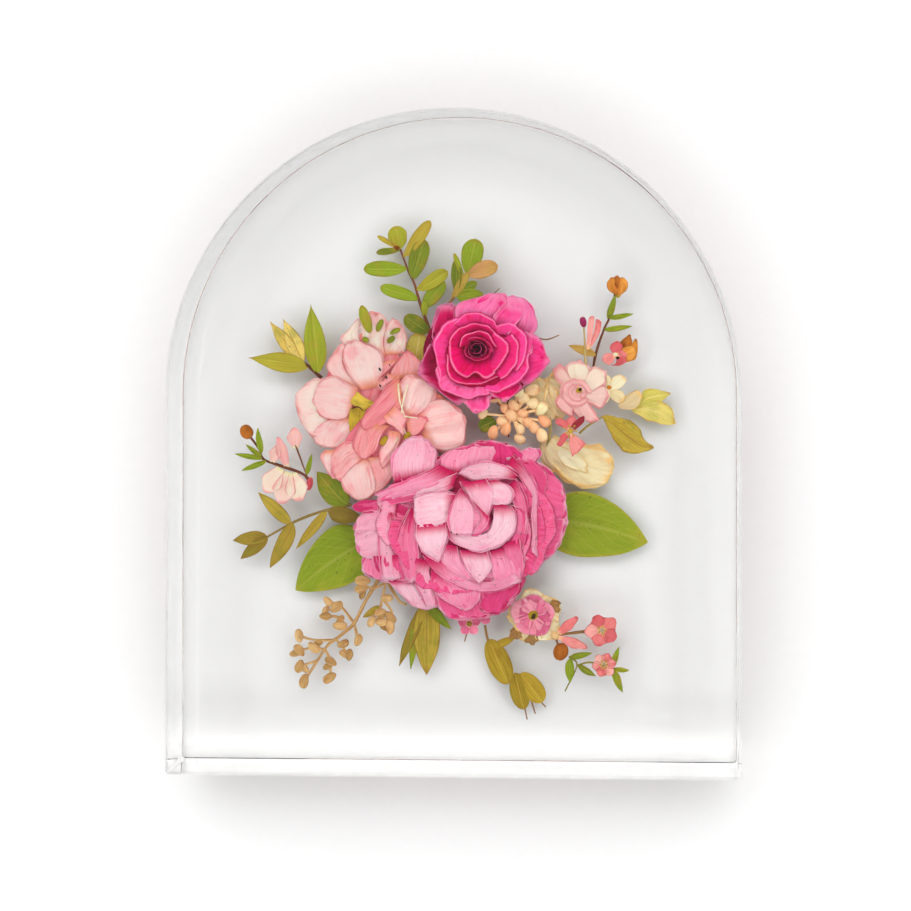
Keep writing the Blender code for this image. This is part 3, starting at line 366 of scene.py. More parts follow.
WAX_PETALS = (
    ((43.5, 17.5, 39.5, 20, 36.5, 22.5, 35.5, 25),
     (43.5, 20.5, 41, 23.5, 39.5, 25, 38, 26.5), 0.2, 0.8, 0.5, 0.5),
    ((43, 19.5, 40.5, 24, 40, 26, 41.5, 27.5),
     (46, 20, 47.5, 23.5, 48, 25.5, 46.5, 27.5), 0.4, 1, 0.88, 0.4),
    ((45, 19.5, 47.5, 24, 50, 26, 52, 25.5),
     (46, 16.5, 50.5, 18.5, 53.5, 20.5, 54, 23), 0.3, 0.9, 0.8, 0.6),
    ((45.5, 17.5, 50, 18.5, 53, 19.5, 54.5, 18), (44.5, 14, 49, 13.5, 51.5, 12, 53, 13), 0.5, 1, 0.55, 0.5),
    ((47, 15.5, 48.5, 12, 50, 9.5, 51, 7.5), (41.5, 15, 42.5, 11, 44.5, 8.5, 47, 7), 0.2, 0.7, 0.45, 0.5),
    ((43.5, 15.5, 42.5, 11.5, 42, 9.5, 42.5, 8.5),
     (42, 18.5, 37.5, 16, 36.5, 13.5, 38, 11), 0.1, 0.6, 0.4, 0.5),
)
CREAM_BLOSSOM = (
    ((54.5, 18, 53, 21, 52, 22, 52.5, 23), (56, 18.5, 56, 21.5, 55.5, 23, 54, 23.5), 0, 0.5, 0.7, 0.5),
    ((55, 18, 56, 21.5, 57, 23, 59, 23.5),
     (55.5, 17.5, 58.5, 18.5, 60.5, 20, 61.5, 21.5), 0.2, 0.7, 0.85, 0.6),
    ((55.5, 18.5, 58.5, 18, 60, 17.5, 61, 16),
     (54.5, 17, 56, 15, 58, 13.5, 59.5, 13.5), 0.1, 0.6, 0.45, 0.5),
    ((55.5, 18, 55.5, 15.5, 54.5, 13.5, 53, 13),
     (55, 19.5, 52.5, 18, 52, 16.5, 52, 15), 0.3, 0.8, 0.75, 0.5),
)
TAN_PETAL = (
    ((58.5, 12.5, 60.5, 15.5, 63, 17, 65.5, 18),
     (59, 11.5, 62.5, 11, 65.5, 12, 67, 15.5), 0, 0.5, 0.2, 0.5),
)
YELLOW_LEAF = (
    ((63, 12, 66.5, 15.5, 68, 18, 72.5, 18.5, 77, 17),
     (63.5, 11, 68, 11.5, 71.5, 12.5, 74, 13.5, 77.5, 16.5), 0.2, 0.6, 0.45, 0),
    ((63.5, 12, 68, 14.5, 73.5, 14, 78, 11, 79, 6.5),
     (63.5, 11, 68, 7.5, 72, 6, 75.5, 5.5, 79, 6), 0, 0.5, 0.7, 0),
)
RUFFLED_LEAF = (
    ((52.5, 8.5, 58, 8.5, 63, 7, 66, 4.5, 68, 0, 71, -2),
     (53, 8, 55, 4, 57, 0, 60, -3.5, 65, -5, 71, -3), 0, 0.7, 0.5, 0),
)
CORAL_STAR = (
    ((40.5, 4, 40, 6.5, 40.5, 8, 42, 9), (42.5, 4.5, 43, 6.5, 43.5, 8, 42.5, 8.5), 0, 0.3, 0.5, 0.3),
    ((40.5, 3.5, 38.5, 5, 36.5, 6, 36, 7), (41.5, 4.5, 40, 7, 39, 7.5, 37.5, 8), 0.1, 0.4, 0.4, 0.3),
    ((41.5, 2.5, 40, 0.5, 39, -1, 38, -2), (40, 3.5, 38, 2, 37.5, 0.5, 36.5, -1), 0.2, 0.5, 0.35, 0.3),
    ((41, 4, 42, 6, 44, 8, 46, 9), (42, 3, 44, 4.5, 46, 6.5, 46.5, 8.5), 0.3, 0.7, 0.02, 0.2),
    ((42, 3, 44, 1.5, 46, 0, 47, -1), (41, 2.5, 41, -1, 41.5, -3.5, 42, -5.5), 0.5, 0.9, 0.62, 0.3),
)
CREAM_PETALS = (
    ((32.5, 1, 33, -3.5, 34.5, -8, 37, -10.5),
     (31, 0, 30.5, -4.5, 32, -8.5, 35, -11), -0.2, 0.2, 0.25, 0.4),
    ((35, 1.5, 40, -1, 46, -2, 51.5, -2.5, 56, -6.5),
     (32.5, -2.5, 35, -9.5, 40, -14.5, 47, -17, 54, -15.5), 0, 1, 0.55, 1.2),
    ((37.5, -1.5, 41.5, -4.5, 45, -6, 47.5, -9),
     (36.5, -4.5, 39, -8.5, 42.5, -10.5, 46.5, -11.5), 1, 1.5, 0.85, 0.5),
    ((39.5, 10, 37.5, 14, 35, 16.5, 33, 17.5),
     (42.5, 15.5, 39.5, 20.5, 37.5, 23.5, 35, 24.5), 0, 0.4, 0.3, 0.6),
    ((38.5, 7.5, 35, 9.5, 32.5, 12.5, 31.5, 15.5),
     (40.5, 11.5, 37.5, 15.5, 34.5, 18.5, 32, 20), -0.4, 0, 0.2, 0.6),
)

# The tissues' looks, with colours as seen, 0 to 255: tones run from the deepest to the palest
TISSUES = {
    # Peony and rose: the deep heart is painted shade at petal bases, the pale edge a painted highlight on
    # rims.
    "peony": dict(
        tones=[(190, 14, 74), (226, 58, 126), (245, 112, 162), (250, 170, 200), (252, 222, 232)],
        heart=(214, 24, 96), heart_reach=0.34, edge=(254, 216, 232), edge_share=0.75, edge_start=0.93,
        rim_shade=(236, 90, 152), rim_shade_share=0.15, streaks=0.72, streak_count=40.0, blotch=(240, 70, 150),
        blotch_share=0.25, specks=0.4, bump=0.6),
    "rose_heart": dict(
        tones=[(60, 0, 28), (130, 0, 48), (190, 0, 76)],
        heart=(50, 0, 22), heart_reach=0.7, edge=(226, 70, 134), edge_share=0.8, edge_start=0.9,
        streaks=0.5),
    "rose": dict(
        tones=[(72, 0, 34), (164, 0, 56), (226, 0, 102), (249, 70, 156), (252, 160, 208)],
        heart=(130, 0, 48), heart_reach=0.6, edge=(254, 176, 216), edge_share=0.7, edge_start=0.7,
        edge_fade=0.4, rim_shade=(246, 24, 134), rim_shade_share=0.35, streaks=0.6, blotch=(230, 0, 103),
        blotch_share=0.5),
    "blush": dict(
        tones=[(244, 142, 158), (252, 190, 190), (254, 224, 220), (254, 244, 238), (250, 250, 236)],
        heart=(245, 170, 140), heart_reach=0.3, edge=(228, 112, 118), edge_share=0.7, edge_start=0.94,
        rim_shade=(248, 176, 180), rim_shade_share=0.2, streaks=0.8, streak_count=22.0, blotch=(249, 158, 174),
        blotch_share=0.4, see_through=0.35),
    "throat": dict(
        tones=[(140, 119, 28), (198, 169, 47), (238, 214, 86)],
        streaks=0.5, blotch=(106, 80, 23)),
    "big_leaf": dict(
        tones=[(118, 152, 32), (156, 179, 44), (191, 201, 63)],
        edge=(216, 190, 73), edge_share=0.35, streaks=0.2, blotch=(191, 195, 63), veins=(209, 211, 99),
        side_veins=7.0, vein_share=0.35, blotch_size=0.012, specks=0.5, see_through=0.3),
    "sprig": dict(
        tones=[(107, 129, 34), (135, 155, 42), (159, 186, 44), (187, 186, 56), (206, 184, 70),
               (220, 173, 112)],
        edge=(180, 133, 50), edge_share=0.35, streaks=0.3, blotch=(198, 166, 60), veins=(222, 210, 100),
        side_veins=5.0, vein_share=0.35, see_through=0.3),
    "dry_leaf": dict(
        tones=[(149, 127, 47), (185, 162, 61), (212, 190, 73), (237, 211, 105), (250, 232, 136)],
        edge=(161, 109, 47), edge_share=0.5, streaks=0.4, blotch=(149, 157, 53), veins=(173, 139, 63),
        side_veins=6.0, specks=0.4, see_through=0.3),
    "yellow_leaf": dict(
        tones=[(169, 176, 57), (207, 198, 82), (231, 217, 118), (250, 232, 147)],
        edge=(214, 149, 57), edge_share=0.45, streaks=0.25, blotch=(186, 186, 80), veins=(249, 232, 158),
        side_veins=6.0, specks=0.3),
    "twig": dict(
        tones=[(88, 50, 38), (128, 76, 52), (150, 112, 66), (140, 140, 62), (205, 180, 120)],
        streaks=0.5, streak_count=5.0, see_through=0.0, bump=0.5),
    "seed": dict(
        tones=[(138, 104, 58), (184, 146, 88), (210, 172, 114), (228, 194, 136)],
        streaks=0.55, streak_count=7.0, blotch=(169, 111, 50), specks=0.3, see_through=0.05, bump=0.6),
    "bead": dict(
        tones=[(198, 109, 98), (250, 189, 139), (250, 225, 173), (250, 249, 194)],
        heart=(230, 169, 112), streaks=0.25, streak_count=5.0, blotch=(250, 191, 139), see_through=0.1,
        roughness=0.4, bump=0.25),
    "cream": dict(
        tones=[(211, 187, 138), (238, 222, 174), (250, 242, 196), (250, 250, 220)],
        edge=(247, 202, 111), edge_share=0.7, streaks=0.35, blotch=(229, 208, 154), veins=(222, 204, 154),
        side_veins=5.0, vein_share=0.35),
    "wax": dict(
        tones=[(243, 161, 170), (250, 201, 197), (250, 233, 219), (250, 250, 227)],
        heart=(250, 250, 204), heart_reach=0.2, edge=(245, 149, 161), edge_share=0.6, streaks=0.3,
        blotch=(250, 217, 198), see_through=0.3, roughness=0.45),
    "coral": dict(
        tones=[(150, 40, 52), (214, 92, 100), (238, 136, 134), (250, 186, 176), (252, 226, 204)],
        heart=(250, 213, 157), heart_reach=0.25, edge=(210, 75, 84), edge_share=0.5, streaks=0.45,
        blotch=(226, 86, 99)),
    "mauve": dict(
        tones=[(166, 45, 96), (216, 94, 139), (245, 140, 170), (250, 186, 198)],
        heart=(250, 210, 186), heart_reach=0.25, edge=(250, 199, 209), edge_share=0.5, streaks=0.5,
        blotch=(226, 100, 144), specks=0.3),
    "pod": dict(
        tones=[(124, 102, 25), (161, 137, 34), (189, 162, 50), (215, 177, 73)],
        edge=(177, 111, 43), edge_share=0.5, streaks=0.5, streak_count=9.0, blotch=(142, 100, 30),
        veins=(210, 179, 73), side_veins=1.0, see_through=0.1, bump=0.5),
    "bud": dict(
        tones=[(107, 52, 16), (166, 92, 29), (203, 124, 41), (230, 156, 64), (249, 190, 96)],
        streaks=0.5, streak_count=8.0, blotch=(122, 60, 20), edge=(122, 64, 25), edge_share=0.5,
        see_through=0.1, bump=0.6),
    "anther": dict(
        tones=[(60, 45, 25), (190, 160, 50), (226, 200, 90)],
        streaks=0.3, see_through=0.0),
}


def paint(red, green, blue):
    """A colour given as seen, 0 to 255, as the renderer's linear light."""
    return tuple(
        c / 12.92 if c <= 0.04045 else ((c + 0.055) / 1.055) ** 2.4
        for c in (red / 255, green / 255, blue / 255)
    )


class Graph:
    """A material's or world's node tree, with short ways to add and join nodes."""

    def __init__(self, owner):
        owner.use_nodes = True
        self.tree = owner.node_tree
        self.tree.nodes.clear()

    def put(self, socket, value):
        """Sets a socket to a number, vector or colour, or joins it to another socket."""
        if isinstance(value, bpy.types.NodeSocket):
            self.tree.links.new(value, socket)
        elif isinstance(value, tuple) and len(value) == 3 and socket.type == "RGBA":
            socket.default_value = (*value, 1.0)
        else:
            socket.default_value = value

    def node(self, kind, inputs=(), **settings):
        """Adds a node with its settings and fills its inputs, given by name or in their order."""
        made = self.tree.nodes.new(kind)
        for key, value in settings.items():
            setattr(made, key, value)
        for key, value in inputs.items() if isinstance(inputs, dict) else enumerate(inputs):
            self.put(made.inputs[key], value)
        return made

    def math(self, operation, first, second=0.0, third=0.0):
        return self.node("ShaderNodeMath", (first, second, third), operation=operation).outputs[0]

    def span(self, value, low, high, to_low=0.0, to_high=1.0):
        """Carries a range over to another, evenly eased and held at its ends."""
        ends = (value, low, high, to_low, to_high)
        return self.node("ShaderNodeMapRange", ends, interpolation_type="SMOOTHSTEP").outputs[0]

    def mix(self, share, first, second, blend="MIX"):
        """Mixes two colours, whose sockets lie behind the node's ones for numbers and vectors."""
        inputs = {0: share, 6: first, 7: second}
        return self.node("ShaderNodeMix", inputs, data_type="RGBA", blend_type=blend).outputs[2]

    def noise(self, place, scale, detail=2.0, roughness=0.55):
        inputs = {"Vector": place, "Scale": scale, "Detail": detail, "Roughness": roughness}
        return self.node("ShaderNodeTexNoise", inputs).outputs[0]

    def bump(self, height, strength, distance):
        inputs = {"Strength": strength, "Distance": distance, "Height": height}
        return self.node("ShaderNodeBump", inputs).outputs[0]

    def attribute(self, name):
        return self.node("ShaderNodeAttribute", attribute_name=name).outputs["Fac"]

    def place(self):
        """Where a point is on its object."""
        return self.node("ShaderNodeTexCoord").outputs["Object"]

    def split(self, vector):
        """A vector's three parts."""
        return self.node("ShaderNodeSeparateXYZ", (vector,)).outputs

    def ramp(self, value, colours):
        """Runs through colours that are evenly spaced from 0 to 1."""
        made = self.node("ShaderNodeValToRGB", (value,))
        stops = made.color_ramp.elements
        while len(stops) < len(colours):
            stops.new(0.5)
        for step, colour in enumerate(colours):
            stops[step].position = step / (len(colours) - 1)
            stops[step].color = (*colour, 1.0)
        return made.outputs[0]


def streaked(graph, colour, fibres, streaks):
    """Deepens a colour where its fibres are dark and lightens it where they are light."""
    dark = graph.span(fibres, 0.30, 0.52, streaks, 0.0)
    colour = graph.mix(dark, colour, graph.mix(1.0, colour, colour, "MULTIPLY"))
    light = graph.span(fibres, 0.52, 0.75, 0.0, streaks)
    return graph.mix(light, colour, (0.95, 0.9, 0.9), "SOFT_LIGHT")


def vein_net(graph, off_middle, along, patches, side_veins):
    """How much of a midrib or a slanting side vein there is, from 0 to 1."""
    branch = graph.math("MULTIPLY_ADD", off_middle, -2.6, graph.math("MULTIPLY", along, side_veins))
    line = graph.math("PINGPONG", graph.math("ADD", branch, graph.math("MULTIPLY", patches, 0.5)), 0.5)
    side = graph.span(line, 0.0, 0.11, 1.0, 0.0)
    rib = graph.span(off_middle, 0.025, 0.10, 1.0, 0.0)
    return graph.math("MAXIMUM", graph.math("MULTIPLY", side, 0.6), rib)


def thin_skin(graph, colour, height, patches, roughness, bump, see_through):
    """A dull surface, raised by a height, that lets a share of the light through."""
    shader = graph.node("ShaderNodeBsdfPrincipled", {
        "Base Color": colour,
        "Roughness": graph.span(patches, 0.3, 0.7, roughness - 0.08, roughness + 0.1),
        "Specular IOR Level": DULL,
        "Normal": graph.bump(height, bump, RELIEF),
    })
    through = graph.node("ShaderNodeBsdfTranslucent", {"Color": colour})
    both = graph.node("ShaderNodeMixShader", (see_through, shader.outputs[0], through.outputs[0]))
    graph.node("ShaderNodeOutputMaterial", {"Surface": both.outputs[0]})


def tissue(name, tones, heart=None, heart_reach=0.35, edge=None, edge_share=0.7, edge_start=0.86,
           edge_fade=0.12, rim_shade=None, rim_shade_share=0.4, streaks=0.35, streak_count=16.0, blotch=None,
           blotch_share=0.5, blotch_size=0.006, veins=None, side_veins=8.0, vein_share=0.6, specks=0.0,
           see_through=0.15, roughness=0.55, bump=0.35):
    """Petal or leaf tissue: a colour by tone, with streaks along it, blotches, veins, specks and an edge."""
    made = bpy.data.materials.new(name)
    graph = Graph(made)
    rim = graph.attribute("rim")
    across, along, _ = graph.split(graph.node("ShaderNodeUVMap", uv_map="tissue").outputs[0])
    off_middle = graph.math("ABSOLUTE", graph.math("MULTIPLY_ADD", across, 2.0, -1.0))
    place = graph.place()
    strands = (graph.math("MULTIPLY", across, streak_count), graph.math("MULTIPLY", along, 1.6),
               graph.attribute("seed"))
    strand = graph.node("ShaderNodeCombineXYZ", strands).outputs[0]
    fibres = graph.noise(strand, 1.0, detail=4.0, roughness=0.6)
    patches = graph.noise(place, 1.0 / blotch_size, detail=3.0)

    colour = graph.ramp(graph.attribute("tone"), [paint(*tone) for tone in tones])
    if blotch:
        colour = graph.mix(graph.span(patches, 0.48, 0.72, 0.0, blotch_share), colour, paint(*blotch))
    colour = streaked(graph, colour, fibres, streaks)
    # Heart colour at petal bases: a paler flower's own middle; on the peony and the rose, painted shade
    # between petals.
    if heart:
        colour = graph.mix(graph.span(along, 0.02, heart_reach, 1.0, 0.0), colour, paint(*heart))
    height = fibres
    if veins:
        net = vein_net(graph, off_middle, along, patches, side_veins)
        colour = graph.mix(graph.math("MULTIPLY", net, vein_share), colour, paint(*veins))
        height = graph.math("MULTIPLY_ADD", net, -0.9, height)
    # Painted shade: the colour deepens towards the rim, like the shade under a petal's curved sides.
    if rim_shade:
        rim_shade_mask = graph.span(graph.math("MULTIPLY_ADD", patches, 0.3, rim), 0.55, 1.1, 0.0, rim_shade_share)
        colour = graph.mix(rim_shade_mask, colour, paint(*rim_shade))
    # Edge colour: the tissue's own edge on leaves and most flowers; on the peony and the rose, a painted
    # highlight of rims.
    if edge:
        wander = graph.math("MULTIPLY_ADD", patches, 0.3, graph.math("SUBTRACT", rim, 0.15))
        edge_and_rim_light = graph.span(wander, edge_start, edge_start + edge_fade, 0.0, edge_share)
        colour = graph.mix(edge_and_rim_light, colour, paint(*edge))
    if specks:
        dots = graph.span(graph.noise(place, SPECK_SCALE, detail=1.0), 0.70, 0.76, 0.0, specks)
        colour = graph.mix(dots, colour, paint(*SPECK_COLOUR))
    thin_skin(graph, colour, height, patches, roughness, bump, see_through)
    return made


FINISHES = {name: tissue(f"{name}_tissue", **look) for name, look in TISSUES.items()}


def resin_finish():
    """Clear cast resin: plain transmission with a faint warmth in its depth."""
    made = bpy.data.materials.new("clear_resin")
    graph = Graph(made)
    swirl = graph.noise(graph.place(), SWIRL_SCALE, detail=1.0)
    shader = graph.node("ShaderNodeBsdfPrincipled", {
        "Base Color": (1.0, 1.0, 1.0),
        "Roughness": 0.0,
        "IOR": RESIN_IOR,
        "Transmission Weight": 1.0,
        "Normal": graph.bump(swirl, SWIRL_STRENGTH, SWIRL_DEPTH),
    })
    depth = graph.node("ShaderNodeVolumeAbsorption", {"Color": RESIN_TINT, "Density": RESIN_DENSITY})
    graph.node("ShaderNodeOutputMaterial", {"Surface": shader.outputs[0], "Volume": depth.outputs[0]})
    return made


def waver(random, x, y, layers=3):
    """Smooth unevenness from about -1 to 1 over two coordinates, from seeded waves."""
    total, most = 0.0, 0.0
    for layer in range(layers):
        share = 1.0 / 1.7**layer
        for _ in range(3):
            turn, phase = random.uniform(0, 2 * pi, 2)
            total = total + share * np.sin((x * cos(turn) + y * sin(turn)) * 2.1**layer + phase)
        most += 3 * share
    return total * 1.7 / most


def pleats(random, x, y):
    """Unevenness like waver's, but with sharp ridges."""
    return 1 - 2 * np.abs(waver(random, x, y, layers=2))


def swell(along, form):
    """Half of a blade's width at a share of its length, as a share of the widest."""
    rise, fall = form
    widest = rise / (rise + fall)
    peak = widest**rise * (1 - widest) ** fall
    return along**rise * (1 - along) ** fall / peak


def ease(value):
    """Runs smoothly from 0 to 1 as a value does, and is held beyond."""
    held = np.clip(value, 0.0, 1.0)
    return held * held * (3 - 2 * held)


def near_middle(across, width):
    """How near a sheet's middle line a place is: 1 on it, fading smoothly to both sides."""
    return np.exp(-((across / width) ** 2))


def unit(vectors):
    """Vectors along the last axis, each brought to a length of 1."""
    return vectors / np.maximum(np.linalg.norm(vectors, axis=-1, keepdims=True), 1e-9)


def walk_length(points):
    """How long a route of points is."""
    return np.linalg.norm(np.diff(points, axis=0), axis=1).sum()


def weave_grid(rows, columns):
    """Places over a sheet: across from -1 to 1 and along from 0 to 1, both by row and column."""
    along, across = np.meshgrid(np.linspace(0, 1, rows), np.linspace(-1, 1, columns), indexing="ij")
    return across, along


def around_rings(rings, count):
    """Each point of a stack of rings but its last, with the next point round its ring, by number."""
    starts = range(0, (rings - 1) * count, count)
    return [(start + col, start + (col + 1) % count) for start in starts for col in range(count)]


class Plant:
    """The closed sheets, tubes and lumps of one dried plant, gathered in millimetres."""

    def __init__(self, node, seed):
        self.node = node
        self.random = np.random.default_rng(seed)
        self.points, self.faces, self.marks = [], [], []
        self.finish_names, self.finish_of_face = [], []
        self.count = 0

    def add(self, points, faces, across, along, rim, tone, finish):
        """Adds one closed shell, with what its finish reads at each point."""
        if finish not in self.finish_names:
            self.finish_names.append(finish)
        size = len(points)
        seed = np.full(size, self.random.uniform(0.0, 60.0))
        self.points.append(points)
        self.marks.append(np.column_stack([across, along, rim, np.full(size, tone), seed]))
        self.faces += [[self.count + corner for corner in face] for face in faces]
        self.finish_of_face += [self.finish_names.index(finish)] * len(faces)
        self.count += size

    def show(self):
        """Makes the plant's object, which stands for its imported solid."""
        name = f"{self.node}_dried"
        mesh = bpy.data.meshes.new(name)
        mesh.from_pydata(np.concatenate(self.points) * MM, [], self.faces)
        for finish in self.finish_names:
            mesh.materials.append(FINISHES[finish])
        mesh.polygons.foreach_set("material_index", self.finish_of_face)
        mesh.polygons.foreach_set("use_smooth", [True] * len(mesh.polygons))
        marks = np.concatenate(self.marks)
        for column, label in ((2, "rim"), (3, "tone"), (4, "seed")):
            mesh.attributes.new(label, "FLOAT", "POINT").data.foreach_set("value", marks[:, column])
        corners = np.empty(len(mesh.loops), dtype=np.int32)
        mesh.loops.foreach_get("vertex_index", corners)
        flat = np.column_stack([(marks[:, 0] + 1) / 2, marks[:, 1]])[corners]
        mesh.uv_layers.new(name="tissue").data.foreach_set("uv", flat.ravel())
        mesh.update()
        made = bpy.data.objects.new(name, mesh)
        bpy.context.scene.collection.objects.link(made)
        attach(made, "root")
        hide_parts(self.node)


def sheet(plant, places, thick, tone, finish, marks=None):
    """A closed thin sheet about a grid of places, whose rows run along it and whose columns run across.

    marks are what its finish reads: how far across, how far along and how near its rim each place is.
    """
    rows, columns, _ = places.shape
    facing = unit(np.cross(np.gradient(places, axis=0), np.gradient(places, axis=1)))
    top, bottom = (places + facing * thick / 2 * sign for sign in (1, -1))
    size = rows * columns
    number = np.arange(size).reshape(rows, columns)
    a, b, c, d = number[:-1, :-1], number[:-1, 1:], number[1:, 1:], number[1:, :-1]
    upper = np.stack([a, d, c, b], axis=-1).reshape(-1, 4)
    lower = np.stack([a, b, c, d], axis=-1).reshape(-1, 4) + size
    border = np.concatenate([number[0, :-1], number[:-1, -1], number[-1, :0:-1], number[:0:-1, 0]])
    ahead = np.roll(border, -1)
    edge = np.stack([border, ahead, ahead + size, border + size], axis=-1)
    faces = np.concatenate([upper, lower, edge]).tolist()
    if marks is None:
        across, along = weave_grid(rows, columns)
        marks = (across, along, np.maximum(np.abs(across), along))
    points = np.concatenate([top.reshape(-1, 3), bottom.reshape(-1, 3)])
    plant.add(points, faces, *(np.tile(mark.ravel(), 2) for mark in marks), tone, finish)


def laid_out(base, tip, far, out):
    """Where places lie from base to tip, by how far along and how far out to a side they are."""
    start, run = Vector(base), Vector(tip) - Vector(base)
    side = Vector((-run.y, run.x)).normalized()
    return start.x + run.x * far + side.x * out, start.y + run.y * far + side.y * out


def leaf(plant, base, tip, width, height, tone, finish="sprig", form=LEAF, bend=0.0, wave=0.25, rows=26,
         columns=9):
    """A leaf from base to tip: bend bows it to a side and wave ripples its edges."""
    across, along = weave_grid(rows, columns)
    length = (Vector(tip) - Vector(base)).length
    half = np.maximum(width / 2 * swell(along, form), NARROWEST)
    random = plant.random
    random.uniform()  # a draw for toothed edges, which no leaf has; it keeps the later draws in their places
    uneven = 1 + 0.05 * waver(random, along * 7, across, layers=2) * np.abs(across)
    out = across * half * uneven
    sway = bend * np.sin(pi * along) + 0.02 * length * waver(random, along * 3, along * 0, layers=1)
    x, y = laid_out(base, tip, along, out + sway * ease(along * 5))
    gutter = -0.25 * near_middle(across, 0.16) * (1 - along)
    phase = along * random.uniform(5, 8) + np.sign(across) * 1.3 + random.uniform(0, 6)
    ripple = wave * np.sin(phase) * across**2
    uneven = 0.12 * waver(random, out * 1.3, along * length * 0.5)
    rise = LEAF_LIFT * along + LEAF_ARCH * np.sin(pi * along) + LEAF_CUP * across**2 * half * 2 / width
    z = height + rise + gutter + ripple * half * 2 / width + uneven
    sheet(plant, np.stack([x, y, z], axis=-1), LEAF_THICK, tone, finish)


def petal(plant, base, tip, width, foot, top, tone, finish, neck=0.35, cup=0.8, curl=0.0, ruffle=0.5,
          crinkle=0.25, ragged=0.02, notch=0.0, rows=22, columns=24):
    """A broad petal from base to tip, between two heights.

    neck is its width at the base as a share. cup raises its sides and curl its end. ruffle waves its rim,
    crinkle wrinkles it all over, ragged frays its outline and notch dents its end.
    """
    across, along = weave_grid(rows, columns)
    length = (Vector(tip) - Vector(base)).length
    random = plant.random
    opened = np.sin(pi / 2 * np.clip(along / PETAL_WIDEST, 0, 1)) ** 1.2
    past = np.clip((along - PETAL_WIDEST) / (1 - PETAL_WIDEST), 0, 1)
    half = width / 2 * (neck + (1 - neck) * opened) * (1 - PETAL_NARROWING * past**2)
    fray = ragged * (waver(random, across * 7, across * 0) + 0.6 * waver(random, across * 19, across * 0))
    reach = 1 - PETAL_ROUNDING * np.abs(across) ** 2.4 - notch * near_middle(across, 0.22) + fray
    far = along * (1 + (reach - 1) * along**2)
    fray_side = 1 + 2 * ragged * waver(random, along * 9, np.sign(across) * 2.0) * np.abs(across) ** 3
    out = across * half * fray_side
    x, y = laid_out(base, tip, far, out)
    rimward = np.maximum(np.abs(across), along)
    frills = waver(random, across * 4.5, along * 3.5, layers=2) * rimward**3
    folds = waver(random, out * 0.75, far * length * 0.16)
    ridges = pleats(random, out * 0.45, far * length * 0.10)
    arch = PETAL_ARCH * np.sin(pi * along)
    z = foot + (top - foot) * along**0.9 + arch + cup * (across**2 - 0.3) * opened
    z = z + ruffle * frills + crinkle * (0.7 * folds + 0.6 * ridges) * ease(along * 3)
    z = z + curl * ease((along - 0.72) / 0.28)
    sheet(plant, np.stack([x, y, z], axis=-1), PETAL_THICK, tone, finish)


def cupped(plant, centre, turn, span, low_radius, rim_radius, foot, top, tone, finish, roll, ruffle=0.35,
           crinkle=0.15, rows=16):
    """A petal that stands round a centre, flared from its foot's radius to its rim's, which roll turns out.

    Angles are in degrees.
    """
    across, along = weave_grid(rows, CUPPED_COLUMNS)
    random = plant.random
    angle = radians(turn) + across * radians(span) / 2 * (0.82 + 0.18 * along)
    rolled = ease((along - 0.8) / 0.2)
    radius = low_radius + (rim_radius - low_radius) * along**1.3 + roll * rolled
    arc_length = angle * rim_radius
    frills = waver(random, arc_length * 0.5, along * 2, layers=2)
    folds = waver(random, arc_length * 1.1, along * 3)
    radius = radius + ruffle * frills * along**2 + crinkle * folds
    ends = 1 - CUPPED_DIP * np.abs(across) ** 2.5
    z = foot + (top - foot) * np.sin(pi / 2 * along) ** 0.9 * ends - 0.45 * roll * rolled
    z = z + 0.6 * ruffle * frills * along**3 + 0.5 * crinkle * folds * along
    x = centre[0] + radius * np.cos(angle)
    y = centre[1] + radius * np.sin(angle) * CUPPED_DEPTH
    sheet(plant, np.stack([x, y, z], axis=-1), PETAL_THICK, tone, finish)


def smooth_route(points):
    """Points along a smooth curve through a route's own points."""
    route = np.array(points, dtype=float)
    padded = np.vstack([2 * route[0] - route[1], route, 2 * route[-1] - route[-2]])
    made = []
    for before, start, stop, after in zip(padded, padded[1:], padded[2:], padded[3:]):
        for t in np.linspace(0, 1, ROUTE_STEPS, endpoint=False):
            square = (2 * before - 5 * start + 4 * stop - after) * t**2
            cube = (3 * start - before - 3 * stop + after) * t**3
            made.append(0.5 * (2 * start + (stop - before) * t + square + cube))
    made.append(route[-1])
    return np.array(made)


def along_route(points, count):
    """Evenly spaced places along a smooth curve through points, given as their x and y in turn."""
    route = smooth_route(np.reshape(points, (-1, 2)))
    steps = np.linalg.norm(np.diff(route, axis=0), axis=1)
    walked = np.concatenate([[0.0], np.cumsum(steps)])
    wanted = np.linspace(0, walked[-1], count)
    return np.stack([np.interp(wanted, walked, route[:, axis]) for axis in range(route.shape[1])], axis=-1)


